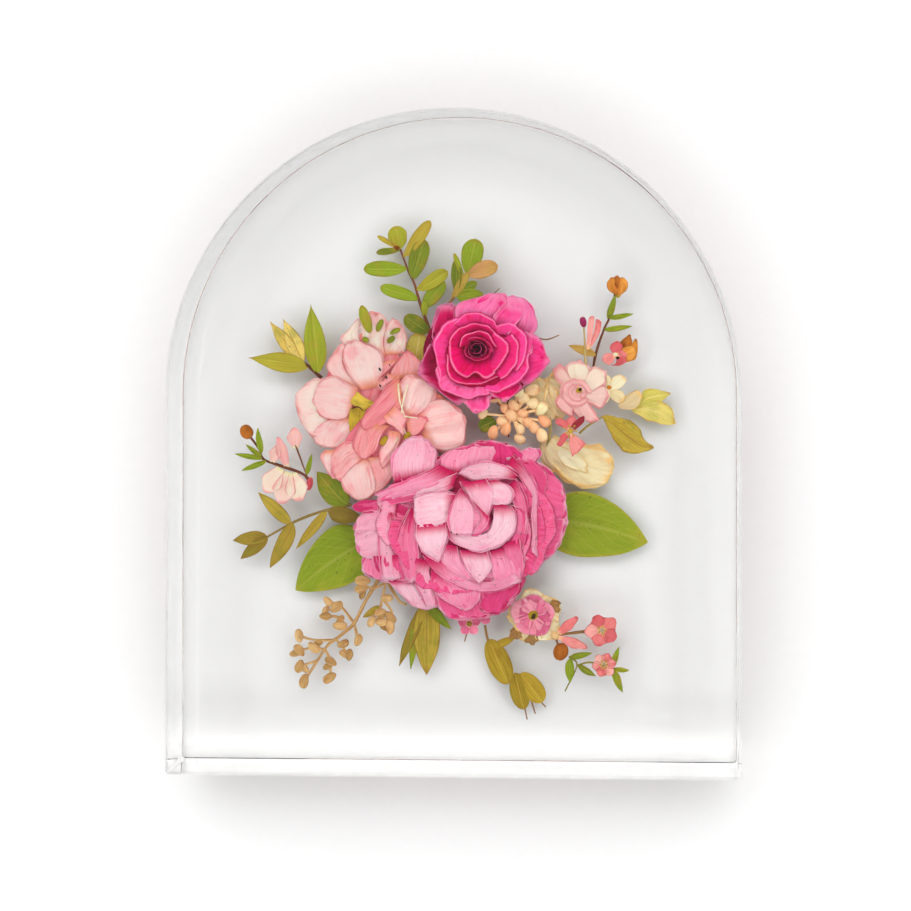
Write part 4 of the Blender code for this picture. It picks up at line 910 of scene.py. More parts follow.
def spread(plant, left, right, foot, top, tone, finish, bulge, dome=0.7, lip=0.35, ruffle=0.4, crinkle=0.2,
           ragged=0.3, outset=0.0, rows=28, columns=22, thick=PETAL_THICK):
    """A petal between its two edges, each a route from base to tip.

    bulge rounds its end, dome raises its middle, lip turns its rim up, ruffle waves its rim, crinkle wrinkles
    it all over, ragged frays its outline and outset widens it, all in millimetres.
    """
    across, along = weave_grid(rows, columns)
    random = plant.random
    one, other = along_route(left, rows), along_route(right, rows)
    share = ((across + 1) / 2)[..., None]
    flat = other[:, None, :] * (1 - share) + one[:, None, :] * share
    middle = (one + other) / 2
    ahead = unit(np.gradient(middle, axis=0))
    width = np.linalg.norm(one - other, axis=1)[:, None]
    length = walk_length(middle)
    end = (bulge + outset) * (1 - across**2) + ragged * waver(random, across * 6, across * 0)
    flat = flat + ahead[:, None, :] * (end * along**3)[..., None]
    side = ragged * 0.8 * waver(random, along * length * 0.6, np.sign(across) * 3) * np.abs(across) ** 3
    flat = flat + unit(one - other)[:, None, :] * ((side + outset) * across)[..., None]
    out = across * width / 2
    rimward = np.maximum(np.abs(across), along)
    frills = waver(random, out * 0.35, along * length * 0.3, layers=2) * rimward**3
    folds = waver(random, out * 0.9, along * length * 0.22)
    ridges = pleats(random, out * 0.7, along * length * 0.1)
    creases = pleats(random, out * 1.8, along * length * 0.45)
    z = foot + (top - foot) * along + dome * (1 - across**2) * np.sin(pi * np.clip(along * 0.85 + 0.12, 0, 1))
    z = z + lip * ease((rimward - 0.75) / 0.25) + ruffle * frills
    z = z + crinkle * (0.6 * folds + 0.8 * ridges + 0.4 * creases)
    sheet(plant, np.concatenate([flat, z[..., None]], axis=-1), thick, tone, finish)


def layered(plant, petals, height, finish, tint=0.0, **shape):
    """Drawn petals, each over a wider one that shows round it, toned deeper as painted shade; tint is added
    to their tones.
    """
    under = {"ragged": 0.6, **shape, "crinkle": 0.1, "outset": UNDER_OUTSET, "rows": 18, "columns": 13}
    drop = height - UNDER_DROP
    for left, right, foot, top, tone, bulge in petals:
        tone = tone + tint
        # The under petal is toned deeper: painted shade where it shows round the drawn one.
        spread(plant, left, right, foot + drop, top + drop, tone - UNDER_SHADE, finish, bulge, **under)
        spread(plant, left, right, height + foot, height + top, tone, finish, bulge, **shape)


def drawn(plant, petals, height, finish, **shape):
    """Drawn petals or leaves, raised to a height."""
    for left, right, foot, top, tone, bulge in petals:
        spread(plant, left, right, height + foot, height + top, tone, finish, bulge, **shape)


def small_petals(plant, petals, height, finish, **shape):
    """The drawn petals of a small flower."""
    drawn(plant, petals, height, finish, **{**SMALL_PETAL, **shape})


def band(plant, outer, inner, top, tone, finish, fall_out, fall_in, ruffle, crinkle):
    """A petal that stands round a bloom's middle, as seen from above between its outer and inner lines.

    It falls from its rim by fall_out to its outer line and by fall_in to its inner one, beyond which it is
    carried on inward.
    """
    inward, around = weave_grid(*BAND_GRID)
    inward = (inward + 1) / 2
    random = plant.random
    far, near = along_route(outer, BAND_GRID[0]), along_route(inner, BAND_GRID[0])
    step = near - far
    reach = np.linalg.norm(step, axis=1, keepdims=True)
    length = walk_length(far)
    frills = waver(random, around * length * 0.55, inward * 1.5, layers=2)
    folds = waver(random, around * length * 1.2, inward * 2)
    within = np.clip((inward - CREST) / (1 - CREST), 0, 1)
    shift = (ruffle * frills + crinkle * folds) * (1 - within)
    walk = inward * (1 + BAND_DEEPER) + shift / np.maximum(reach, 1)
    flat = far[:, None, :] + step[:, None, :] * walk[..., None]
    without = np.clip(1 - inward / CREST, 0, 1)
    ends = np.abs(2 * around - 1) ** 6
    z = top - fall_out * without**1.5 - fall_in * within**1.25 - 0.8 * ends
    z = z + (0.5 * ruffle * frills + 0.6 * crinkle * folds) * (1 - 0.5 * within)
    # Rim mark: the edge colour on the crest, a painted highlight. Along mark falls inward: the heart colour
    # there is painted shade.
    rim = np.clip(1.05 - 5 * np.abs(inward - CREST), 0, 1)
    marks = (2 * around - 1, 1 - 0.95 * within, rim)
    sheet(plant, np.concatenate([flat, z[..., None]], axis=-1), PETAL_THICK, tone, finish, marks)


def stem(plant, points, height, tone, radius=0.6, end_radius=None, finish="twig"):
    """A twig along points, two or three numbers each, that thins to its end."""
    route = smooth_route([point if len(point) == 3 else (*point, height) for point in points])
    count = len(route)
    ahead = unit(np.gradient(route, axis=0))
    side = unit(np.cross(ahead, (0.0, 0.0, 1.0)))
    up = np.cross(side, ahead)
    share = np.linspace(0, 1, count)
    end = radius * 0.6 if end_radius is None else end_radius
    knots = 1 + STEM_KNOTS * waver(plant.random, share * count * 0.9, share * 0, layers=2)
    wide = (radius + (end - radius) * share) * knots
    angles = np.linspace(0, 2 * pi, TUBE_SIDES, endpoint=False)
    ring = side[:, None, :] * np.cos(angles)[None, :, None] + up[:, None, :] * np.sin(angles)[None, :, None]
    points = (route[:, None, :] + ring * wide[:, None, None]).reshape(-1, 3)
    faces = [[a, a + TUBE_SIDES, b + TUBE_SIDES, b] for a, b in around_rings(count, TUBE_SIDES)]
    faces.append(list(range(TUBE_SIDES)))
    faces.append(list(range(count * TUBE_SIDES - 1, (count - 1) * TUBE_SIDES - 1, -1)))
    across = np.tile(np.abs(np.linspace(-1, 1, TUBE_SIDES)), count)
    along = np.repeat(share, TUBE_SIDES)
    plant.add(points, faces, across, along, along * 0, tone, finish)


def lump_faces(rings, segments):
    """The faces of a closed lump whose last two points are its far and near ends."""
    last = (rings - 2) * segments
    far = (rings - 1) * segments
    faces = [[a, a + segments, b + segments, b] for a, b in around_rings(rings - 1, segments)]
    for col in range(segments):
        beside = (col + 1) % segments
        faces.append([far, col, beside])
        faces.append([last + beside, last + col, far + 1])
    return faces


def lump(plant, centre, height, size, tone, finish, turn=0.0, lobes=0, lobe_depth=0.12, taper=0.0, rough=0.05,
         mouth=0.0, rings=12, segments=18):
    """An egg-shaped lump whose long axis lies along X turned by an angle in degrees.

    size is its half-sizes along that axis, across it and up. lobes furrow it lengthways, taper narrows its
    near end and mouth dents that end.
    """
    random = plant.random
    polar = np.linspace(0, pi, rings + 1)[1:-1]
    around = np.linspace(0, 2 * pi, segments, endpoint=False)
    polar, around = np.meshgrid(polar, around, indexing="ij")
    furrow = 1 - lobe_depth * np.abs(np.cos(lobes * around / 2)) ** 3 if lobes else 1.0
    uneven = 1 + rough * waver(random, np.cos(around) * 2.2 + polar, np.sin(around) * 2.2 + polar * 1.7)
    thin = 1 - taper * (1 - np.cos(polar)) / 2
    axis = np.cos(polar) * size[0] * (1 + rough * waver(random, around * 0 + np.sin(around), polar, layers=1))
    broad = np.sin(polar) * size[1] * furrow * uneven * thin * np.cos(around)
    tall = np.sin(polar) * size[2] * furrow * uneven * thin * np.sin(around)
    ends = np.array([[size[0] * (1 - 0.04), 0, 0], [-size[0] * (1 - mouth), 0, 0]])
    points = np.concatenate([np.stack([axis, broad, tall], axis=-1).reshape(-1, 3), ends])
    angle = radians(turn)
    spun = points.copy()
    spun[:, 0] = centre[0] + points[:, 0] * cos(angle) - points[:, 1] * sin(angle)
    spun[:, 1] = centre[1] + points[:, 0] * sin(angle) + points[:, 1] * cos(angle)
    spun[:, 2] = height + points[:, 2]
    across = np.append(np.cos(around).ravel(), [0, 0])
    along = np.append((polar / pi).ravel(), [0, 1])
    plant.add(spun, lump_faces(rings, segments), across, along, along * 0, tone, finish)


def ring_of(count, turn=0.0):
    """The directions of things spaced evenly round a centre, as unit vectors."""
    angles = [radians(turn) + 2 * pi * step / count for step in range(count)]
    return [Vector((cos(angle), sin(angle))) for angle in angles]


def blossom(plant, centre, reach, count, width, height, tones, finish, turn, lift=0.8, **shape):
    """A small flower's ring of petals, in turn of tones."""
    middle = Vector(centre)
    for step, outward in enumerate(ring_of(count, turn)):
        grown = plant.random.uniform(0.9, 1.04)
        petal(plant, middle + outward * FLOWER_HEART * 0.35, middle + outward * reach * grown, width,
              height + STAGGER * (step % 4), height + lift, tones[step % len(tones)], finish,
              rows=12, columns=12, **shape)


def stamens(plant, centre, height, count, reach):
    """Fine threads with anthers at their ends, round a flower's middle."""
    middle = Vector(centre)
    for outward in ring_of(count):
        far = middle + outward * reach * plant.random.uniform(0.6, 1.0)
        high = height + plant.random.uniform(0.5, 1.1)
        stem(plant, [(*centre, height), (*far, high)], height, 0.9, radius=0.12, end_radius=0.1)
        lump(plant, far, high, (ANTHER, ANTHER, ANTHER), 2 / 3, "anther", rings=6, segments=8)


def arc(centre, radius, start, stop, steps):
    """Points round a part of a circle, with its angles in degrees."""
    angles = np.radians(np.linspace(start, stop, steps + 1))
    return [(centre[0] + radius * cos(a), centre[1] + radius * sin(a)) for a in angles]


def arch_outline(half, foot, spring, inset):
    """The outline of the block, drawn in by inset, with its arch's centre at spring."""
    corner = CORNER_ROUND - inset
    right = arc((half - CORNER_ROUND, foot + CORNER_ROUND), corner, -90, 0, CORNER_STEPS)
    arch = arc((0, spring), half - inset, 0, 180, ARCH_STEPS)
    left = arc((CORNER_ROUND - half, foot + CORNER_ROUND), corner, 180, 270, CORNER_STEPS)
    return right + arch + left


def resin_block():
    """The whole clear block, as one solid with rounded corners and edges."""
    low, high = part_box("resin_back")[0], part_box("resin_front")[1]
    half, foot, top, thick = high.x / MM, low.y / MM, high.y / MM, high.z / MM
    bends = np.linspace(0, pi / 2, EDGE_STEPS + 1)
    lower = [(BACK_ROUND * (1 - sin(b)), BACK_ROUND * (1 - cos(b))) for b in bends]
    upper = [(EDGE_ROUND * (1 - sin(b)), thick - EDGE_ROUND * (1 - cos(b))) for b in reversed(bends)]
    spring = top - half
    rings = [[(x, y, z) for x, y in arch_outline(half, foot, spring, inset)] for inset, z in lower + upper]
    count = len(rings[0])
    faces = [[a, b, b + count, a + count] for a, b in around_rings(len(rings), count)]
    sides = len(faces)
    faces.append(list(range(count - 1, -1, -1)))
    faces.append(list(range((len(rings) - 1) * count, len(rings) * count)))
    mesh = bpy.data.meshes.new("resin")
    mesh.from_pydata(np.concatenate(rings) * MM, [], faces)
    mesh.polygons.foreach_set("use_smooth", [True] * sides + [False, False])
    mesh.materials.append(resin_finish())
    made = bpy.data.objects.new("resin", mesh)
    bpy.context.scene.collection.objects.link(made)
    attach(made, "root")
    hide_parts("resin_back", "resin_front")


def leaf_big_left(plant):
    """The flat leaf behind the peony's left."""
    leaf(plant, (-30, -36), (-58.9, -54.9), 21, LOWEST, 0.45, "big_leaf", bend=-1.0, wave=0.5, rows=60,
         columns=31)


def leaf_big_right(plant):
    """The flat leaf behind the peony's right."""
    leaf(plant, (30, -30), (69.2, -36.9), 24, LOWEST, 0.55, "big_leaf", bend=1.5, wave=0.5, rows=70,
         columns=31)


def leaf_bottom_pair(plant):
    """The drooping leaves under the peony."""
    stem(plant, [(-11, -57), (-12, -61)], LOW, 0.5)
    leaf(plant, (-12, -60), (-20.5, -82), 4.2, LOW, 0.15, "dry_leaf", wave=0.5)
    leaf(plant, (-11, -59), (-10.8, -85), 10.0, LOW + 0.12, 0.4, "dry_leaf", rows=44, columns=17, wave=0.5)
    leaf(plant, (-11, -59), (-1.9, -68.5), 3.6, LOW + 0.24, 0.3, "sprig")
    leaf(plant, (-14, -62), (-16.4, -83), 3.4, LOW - 0.2, 0.3, "sprig")


def leaf_yellow_behind(plant):
    """A yellow leaf between the pale bloom and the rose."""
    leaf(plant, (-15, 26), (-13.5, 38.8), 8, LOW, 0.4, "yellow_leaf", form=OVAL)


def leaf_yellow_right(plant):
    """The two yellow leaves at the far right."""
    drawn(plant, YELLOW_LEAF, LOWEST + 0.4, "yellow_leaf", ragged=0.7, ruffle=0.7, rows=48, columns=24,
          thick=LEAF_THICK)


def leaf_ruffled(plant):
    """The ruffled leaf right of the coral star."""
    drawn(plant, RUFFLED_LEAF, MIDDLE, "dry_leaf", ragged=0.9, ruffle=1.2, crinkle=0.35, rows=56, columns=26,
          thick=LEAF_THICK)
    stem(plant, [(44.5, 2.5), (48, 5.5), (53, 8.5)], MIDDLE, 0.85, radius=0.5, end_radius=0.3)


def leaf_row(plant, height, entries, finish="sprig", **shape):
    """A sprig's leaves, each with its base, tip, width and tone, staggered in height."""
    for turn, (base, tip, width, tone) in enumerate(entries):
        leaf(plant, base, tip, width, height + STAGGER * (turn % 4), tone, finish, **shape)


def sprig_top_left(plant):
    """The tall olive sprig at the upper left."""
    stem(plant, [(-20.2, 68.9), (-17.3, 61), (-15.2, 56.7), (-13, 49.2), (-10.8, 43.1), (-9.1, 37.7)], MIDDLE,
         0.25, radius=0.35, end_radius=0.7)
    lump(plant, (-21.6, 69.3), MIDDLE, (1.3, 1.0, 1.0), 0.2, "bud")
    leaf_row(plant, MIDDLE, (
        ((-20.2, 68.9), (-22, 77.2), 6.8, 0.55), ((-20.8, 69.2), (-28.4, 73.6), 1.8, 0.75),
        ((-20.2, 68.5), (-28.8, 67.5), 2.5, 0.15), ((-19, 66), (-9.1, 79), 4.7, 0.75),
        ((-15.6, 57.8), (-11.6, 72.5), 6.8, 0.2), ((-17.6, 61.8), (-33.5, 61.8), 5.7, 0.4),
        ((-13.6, 50.6), (-27.4, 55.3), 5.0, 0.4), ((-14.2, 54.2), (-3, 61), 5.4, 0.6),
        ((-12.4, 47.3), (-4, 57.1), 5.7, 0.3), ((-11.2, 44), (-11.6, 50.3), 2.5, 0.5),
        ((-9.5, 38.6), (-18.4, 44.9), 6.1, 0.1),
    ), form=ROUNDED)


def sprig_top_centre(plant):
    """The bright sprig over the rose."""
    stem(plant, [(-3, 48.5), (0.6, 53.1), (4.5, 60)], UPPER, 0.5, radius=0.5)
    leaf_row(plant, UPPER, (
        ((4.4, 59.6), (7.1, 72.5), 7.9, 0.35), ((4.2, 59.2), (15.3, 62.8), 6.1, 1.0),
        ((0.2, 52.8), (0.6, 65), 3.9, 0.1), ((3, 57.5), (-0.8, 67.1), 1.8, 0.5),
        ((-1.5, 50.7), (4.6, 60.7), 3.2, 0.85), ((0.8, 53.6), (7.8, 56.7), 3.2, 0.2),
        ((0, 52.3), (10.2, 51), 6.0, 0.4),
    ), form=ROUNDED)


def sprig_left_pointed(plant):
    """The sprig of pointed tan leaves at the left."""
    level = MIDDLE - 0.6
    stem(plant, [(-48.9, 22.3), (-54.6, 27.3), (-60.7, 31.6)], level, 0.05, radius=0.7, end_radius=0.35)
    leaf_row(plant, level, (
        ((-57.4, 29.2), (-67.5, 43.1), 5.0, 0.8), ((-55.4, 27.9), (-63.2, 43.5), 6.1, 0.95),
    ), "dry_leaf", form=LANCE, rows=34, columns=13, wave=0.4)
    leaf_row(plant, level, (
        ((-53.5, 26.2), (-75.4, 29.1), 7.2, 0.66), ((-50.4, 23.6), (-52.5, 48.8), 8.3, 0.5),
    ), "sprig", form=LANCE, rows=34, columns=13, wave=0.4)


def sprig_left_buds(plant):
    """The small twig of buds and waxy petals at the far left."""
    level = FRONT - 0.6
    stem(plant, [(-75.4, 2.9), (-71, -3), (-69.3, -6.8), (-65, -8.6), (-55.7, -11.8), (-52.6, -14.5)], level,
         0.15, radius=0.35, end_radius=0.6)
    stem(plant, [(-57.9, -1), (-53.2, -13.6)], level + 0.1, 0.3, radius=0.35)
    lump(plant, (-75.4, 2.9), level, (2.7, 2.5, 1.8), 0.45, "bud", turn=120, lobes=5)
    lump(plant, (-52.5, -15.5), level, (2.6, 1.2, 1.2), 0.2, "coral", turn=80)
    leaf_row(plant, level, (
        ((-69.3, -6.8), (-79.4, -5), 1.8, 0.35), ((-69.8, -6), (-75.4, -1.6), 1.8, 0.3),
        ((-70, -4.9), (-71.2, 4.3), 2.2, 0.4), ((-68.2, -7.4), (-76.9, -11.1), 2.0, 0.35),
        ((-53.6, -12.4), (-51.6, -5), 1.8, 0.3),
    ))
    for base, tip, width, tone in (
        ((-66, -8.2), (-64, -2), 4.4, 0.5), ((-60.5, -10.2), (-64, 1.1), 4.2, 0.3),
        ((-57.6, -3), (-58, 4.6), 5.6, 0.4), ((-63, -10), (-68.5, -19), 8.0, 0.75),
        ((-60, -11.5), (-63, -23), 8.5, 0.6), ((-58.5, -11.8), (-56, -22), 8.5, 0.85),
    ):
        petal(plant, base, tip, width, level, level + 0.6, tone, "wax", rows=14, columns=14, ruffle=0.3)


def sprig_left_olive(plant):
    """The olive twig at the lower left."""
    stem(plant, [(-69, -35.5), (-59.3, -30.1), (-50.3, -26.5), (-38, -23.4)], MIDDLE, 0.6, radius=0.35,
         end_radius=0.65)
    leaf_row(plant, MIDDLE, (
        ((-60.1, -30.5), (-71.8, -19.3), 4.7, 0.45), ((-68.6, -35.2), (-80.8, -36.9), 5.2, 0.2),
        ((-68.4, -35.2), (-78.3, -43), 4.6, 0.1), ((-59.2, -30.1), (-67.5, -46.3), 5.7, 0.3),
        ((-46.8, -25.6), (-57.9, -39.4), 3.6, 0.4), ((-46.5, -25.5), (-33.8, -28.8), 6.0, 0.0),
    ), "dry_leaf", wave=0.4)
    leaf(plant, (-39.4, -23.7), (-50.3, -11.5), 9.0, MIDDLE + 0.4, 0.2, wave=0.4)


def capsules(plant, height, places):
    """Small lobed seed capsules, each turned its own way and some of them with a smaller one beside."""
    for turn, place in enumerate(places):
        angle = plant.random.uniform(0, 2 * pi)
        grown = plant.random.uniform(0.85, 1.15)
        high = height + STAGGER * (turn % 3)
        lump(plant, place, high, (2.5 * grown, 2.0 * grown, 1.6), plant.random.uniform(0.3, 1.0), "seed",
             turn=np.degrees(angle), lobes=3, lobe_depth=0.25, taper=0.3, mouth=0.3, rings=12, segments=18)
        if turn % 2:
            beside = (place[0] - 2.1 * sin(angle), place[1] + 2.1 * cos(angle))
            lump(plant, beside, high - 0.3, (1.9, 1.5, 1.3), plant.random.uniform(0.2, 0.8), "seed",
                 turn=np.degrees(angle) + 50, lobes=3, lobe_depth=0.25, taper=0.3, mouth=0.3)


def seed_sprig(plant):
    """The long dried seed head at the lower left."""
    level = MIDDLE - 0.2
    stem(plant, [(-27.4, -49.5), (-32.7, -58.1), (-37, -66.4), (-41.7, -70.7), (-46.7, -74.6), (-50.3, -80),
                 (-54.8, -87)], level, 0.55, radius=0.7, end_radius=0.45, finish="seed")
    for twig in (
        [(-37, -66.4), (-41.7, -60.5), (-46.4, -58.5)], [(-39.5, -68.7), (-42.4, -64.5), (-47.4, -63.8)],
        [(-44.2, -72.6), (-51.8, -72.5), (-57.1, -71.0)], [(-47.6, -75.9), (-52.5, -75.4), (-57, -76.6)],
        [(-37, -66.4), (-36.1, -70), (-35.6, -72.5)], [(-43.6, -72.1), (-38.9, -77.8)],
        [(-47.6, -75.9), (-45.7, -80), (-45.7, -86)], [(-50.3, -80), (-56.8, -82.1)],
    ):
        stem(plant, twig, level, 0.6, radius=0.5, end_radius=0.45, finish="seed")
    capsules(plant, level, (
        (-46.4, -58.5), (-47.4, -63.8), (-57.1, -71.2), (-57, -76.4), (-41, -73.8), (-38.8, -77.8),
        (-35.6, -72.5), (-45.4, -80.4), (-45.7, -86.2), (-56.8, -82.1), (-55, -87.4), (-51.4, -75.2),
        (-43.5, -60.5), (-42.2, -67.2),
    ))


def seed_cluster(plant):
    """The small dried seed head under the peony."""
    level = UPPER + 0.2
    for twig in (
        [(-24.6, -47), (-25.6, -53), (-27.4, -61.7), (-28.6, -65.6)],
        [(-26.4, -57), (-23, -62), (-23.4, -67)],
        [(-25.2, -50.2), (-20.5, -57.7), (-17.7, -59.2)], [(-25.4, -51.4), (-30, -53.5), (-34, -51.4)],
    ):
        stem(plant, twig, level, 0.6, radius=0.5, end_radius=0.45, finish="seed")
    capsules(plant, level, (
        (-33.5, -50.8), (-34.0, -53.6), (-24.8, -56.7), (-27.4, -62), (-30.2, -65.4), (-26.6, -65.6),
        (-23.4, -63.8), (-23.8, -67.4),
    ))
    leaf(plant, (-27.2, -60), (-33.5, -63.6), 2.6, level, 0.3, "dry_leaf")


def flower_small_pink(plant):
    """The small pink flower and its bud at the bottom."""
    blossom(plant, (4.8, -66.2), 4.4, 5, 3.6, MIDDLE + 0.2, (0.5, 0.7, 0.4), "mauve", turn=20)
    lump(plant, (4.8, -66.2), MIDDLE + 0.5, (1.0, 1.0, 0.8), 0.3, "anther")
    stem(plant, [(4.8, -66.2), (3.1, -72.8)], MIDDLE, 0.5, radius=0.4)
    stem(plant, [(4.8, -66.2), (10.2, -64.9)], MIDDLE, 0.5, radius=0.4)
    lump(plant, (10.7, -64.9), MIDDLE, (1.8, 1.5, 1.2), 0.5, "mauve")


def pod_sprig(plant):
    """The three ribbed pods at the bottom."""
    stem(plant, [(10.3, -67.1), (11.8, -73.5), (16, -80), (21, -86)], LOW - 0.2, 0.5, radius=0.5)
    for place, size, turn, tone in (
        ((15.2, -80), (8.6, 4.9, 1.5), 294, 0.45),
        ((22.8, -90.6), (6.6, 4.0, 1.3), 284, 0.3),
        ((27.4, -89.6), (6.6, 4.3, 1.3), 308, 0.6),
    ):
        lump(plant, place, LOW, size, tone, "pod", turn=turn, lobes=6, lobe_depth=0.16, taper=0.15, rings=22,
             segments=36)
    leaf(plant, (13.0, -75), (21.8, -71.5), 2.9, LOW - 0.3, 0.6, "pod")
    stem(plant, [(23.8, -92), (25.6, -101)], LOW - 0.2, 0.4, radius=0.35)
    stem(plant, [(26.6, -92.5), (28.6, -99)], LOW - 0.1, 0.4, radius=0.35)
    stem(plant, [(29.0, -93), (32.4, -96.5)], LOW - 0.1, 0.4, radius=0.35)


def anemone(plant):
    """The flower with two rings of mauve petals over cream ones."""
    blossom(plant, (28.6, -63.4), 10.2, 5, 11.0, UPPER - 1.9, (0.4, 0.8, 0.2), "cream", turn=30, lift=0.3,
            ruffle=0.6, ragged=0.05, neck=0.5)
    for base, tip in (((23, -67), (20.2, -71)), ((34, -60), (37.6, -59)), ((27, -69.5), (28, -73.2))):
        petal(plant, base, tip, 5.0, UPPER - 1.3, UPPER - 1.1, 0.15, "seed", ragged=0.14, rows=14, columns=14)
    blossom(plant, (27.9, -62.8), 8.2, 5, 9.6, UPPER - 0.9, (0.75, 0.45, 0.9), "mauve", turn=15, cup=1.3)
    blossom(plant, (27.9, -62.8), 6.4, 6, 5.6, UPPER - 0.1, (0.6, 0.85, 0.4), "mauve", turn=50, cup=1.5,
            curl=-0.8)
    lump(plant, (27.9, -62.8), UPPER + 0.4, (2.0, 1.7, 0.8), 0.3, "throat", turn=30)
    lump(plant, (28.1, -63), UPPER + 0.8, (1.2, 0.9, 0.6), 0.0, "anther", turn=60)


def trumpet_sprig(plant):
    """The coral flower on its twig, with a pod and two narrow petals."""
    level = FRONT
    stem(plant, [(35.8, -69.6), (42, -68.7), (49.5, -67.8)], level, 0.5, radius=0.4, end_radius=0.6)
    stem(plant, [(35.8, -69.6), (37.2, -73.6)], level, 0.3, radius=0.45)
    lump(plant, (35.8, -69.6), level, (1.6, 1.6, 1.3), 1.0, "seed")
    lump(plant, (38, -75.3), level, (3.2, 3.0, 2.0), 0.35, "bud", lobes=4, turn=250)
    petal(plant, (36.6, -69.4), (44.1, -62.8), 3.6, level, level + 0.5, 0.5, "coral", rows=14, columns=12)
    petal(plant, (36.6, -70), (47.6, -73.9), 3.6, level + 0.1, level + 0.5, 0.6, "coral", rows=14, columns=12)
    blossom(plant, (52.6, -67.6), 6.2, 5, 5.6, level, (0.5, 0.35, 0.7), "coral", turn=40)
    stamens(plant, (52.6, -67.6), level + 0.4, 5, 1.6)


def blossom_sprig(plant):
    """The small coral blossom and its leaves at the lower right."""
    level = UPPER
    stem(plant, [(40.8, -77.5), (43.7, -80.7), (39.4, -90)], level, 0.7, radius=0.4)
    stem(plant, [(43.7, -80.7), (49, -79.6), (57, -82.1)], level, 0.7, radius=0.4)
    blossom(plant, (53.4, -80.2), 4.6, 6, 3.8, level + 0.3, (0.65, 0.5, 0.8), "coral", turn=10)
    stamens(plant, (53.4, -80.2), level + 0.9, 6, 1.6)
    leaf_row(plant, level, (
        ((41.2, -77.9), (49.1, -76.2), 2.2, 0.3), ((41.4, -78.2), (41.2, -86.8), 3.2, 0.35),
        ((44, -80.7), (50.5, -84), 2.3, 0.2), ((56.6, -82), (62.4, -82.1), 1.8, 0.5),
        ((56.6, -82), (60.2, -90), 2.7, 0.3), ((56, -81.6), (58.8, -74), 2.2, 0.4),
    ))


def bead_cluster(plant):
    """The beads round their hub, between the rose and the peony."""
    level = UPPER
    hub = Vector(BEAD_HUB)
    ring = ((14.3, 15.5), (10, 9.4), (13.6, 2.9), (16.8, 6.9), (20, 9), (21.1, 12.6), (23.2, 4.3),
            (23.2, 0.4), (22.5, 17.3), (27.6, 18), (27.9, 13.3), (31.1, 11.5), (28.3, 4.7), (32.0, 6.9),
            (31.1, 1.8), (24.3, 9.8), (17.6, 11.6), (18.2, 4.2), (26, 6.6), (24.6, 15.2))
    for turn, place in enumerate(ring):
        rise = STAGGER * (turn % 3)
        outward = Vector(place) - hub
        angle = np.degrees(np.arctan2(outward.y, outward.x))
        stem(plant, [BEAD_HUB, place], level - 1.2 + rise, 0.6, radius=0.45, end_radius=0.55, finish="bead")
        grown = plant.random.uniform(0.75, 1.1)
        tone = plant.random.uniform(0.3, 1.0)
        lump(plant, place, level - 0.4 + rise, (2.5 * grown, 2.2 * grown, 1.9 * grown), tone, "bead",
             turn=angle + plant.random.uniform(-60, 60), taper=0.25, rough=0.1)
    for outward in ring_of(9, 20):
        far = hub + outward * plant.random.uniform(6, 10)
        bow = hub + outward * 4 + Vector((-outward.y, outward.x)) * plant.random.uniform(-2, 2)
        tone = plant.random.uniform(0.1, 0.5)
        stem(plant, [BEAD_HUB, bow, far], level - 1.6, tone, radius=0.55, end_radius=0.35)
    leaf(plant, (14.5, 7), (8.4, 4.4), 5.6, level - 1.0, 0.0, "sprig", form=OVAL)


def cream_petals(plant):
    """The broad cream petals behind the beads."""
    stem(plant, [(33, -6), (34, 8), (31, 16)], LOW, 0.9)
    layered(plant, CREAM_PETALS, LOW, "cream", ruffle=1.3, crinkle=0.6, ragged=1.0)
    petal(plant, (33.6, 7), (29, 22.3), 12, LOW + 0.2, LOW + 0.7, 0.35, "cream")
    petal(plant, (33, 10), (40, 22), 10, LOW, LOW + 0.4, 0.6, "cream")


def wax_flower(plant):
    """The waxy flower at the right of the beads."""
    layered(plant, WAX_PETALS, UPPER, "wax", ruffle=0.4, crinkle=0.16)
    lump(plant, (43.0, 16.6), UPPER + 0.9, (5.8, 4.9, 1.1), 0.3, "wax", turn=120, rough=0.1, rings=20,
         segments=30)
    for turn, span, reach in (
        (250, 150, 5.2), (60, 130, 4.6), (150, 120, 4.8), (200, 200, 3), (20, 160, 2.6),
    ):
        cupped(plant, (43.8, 17.4), turn, span, reach * 0.6, reach, UPPER + 1.4, UPPER + 3.4 - reach * 0.25,
               0.35, "wax", roll=0.5)
    lump(plant, (44.6, 18.2), UPPER + 2.3, (1.3, 1.0, 0.6), 0.5, "throat", turn=40)
    lump(plant, (44.8, 18.3), UPPER + 2.6, (0.8, 0.6, 0.5), 0.0, "anther", turn=40)


def coral_star(plant):
    """The pointed coral flower over the cream petals."""
    level = FRONT + 1.0
    small_petals(plant, CORAL_STAR, level, "coral")
    lump(plant, (41.4, 3.5), level + 0.6, (0.9, 0.8, 0.6), 0.6, "anther")
    stamens(plant, (41.4, 3.5), level + 0.6, 7, 2.6)


def sprig_right(plant):
    """The tall twig with a bronze bud at the upper right."""
    stem(plant, [(49.1, 23), (50.5, 31.3), (53.4, 39.9), (55.5, 44.5), (57.4, 53)], MIDDLE, 0.15, radius=0.5,
         end_radius=0.35)
    small_petals(plant, BRONZE_BUD, MIDDLE, "bud", dome=1.4, crinkle=0.3, ruffle=0.3)
    lump(plant, (58.6, 52.6), MIDDLE, (1.5, 1.0, 0.9), 0.5, "pod", turn=70)
    leaf_row(plant, MIDDLE, (
        ((54.9, 43.5), (57.6, 52.2), 2.4, 0.3), ((55.1, 43.9), (63.8, 45.6), 1.9, 0.35),
        ((53.4, 39.8), (63.4, 40.9), 2.0, 0.4), ((50.4, 30.6), (40.8, 34.1), 3.2, 0.9),
    ))


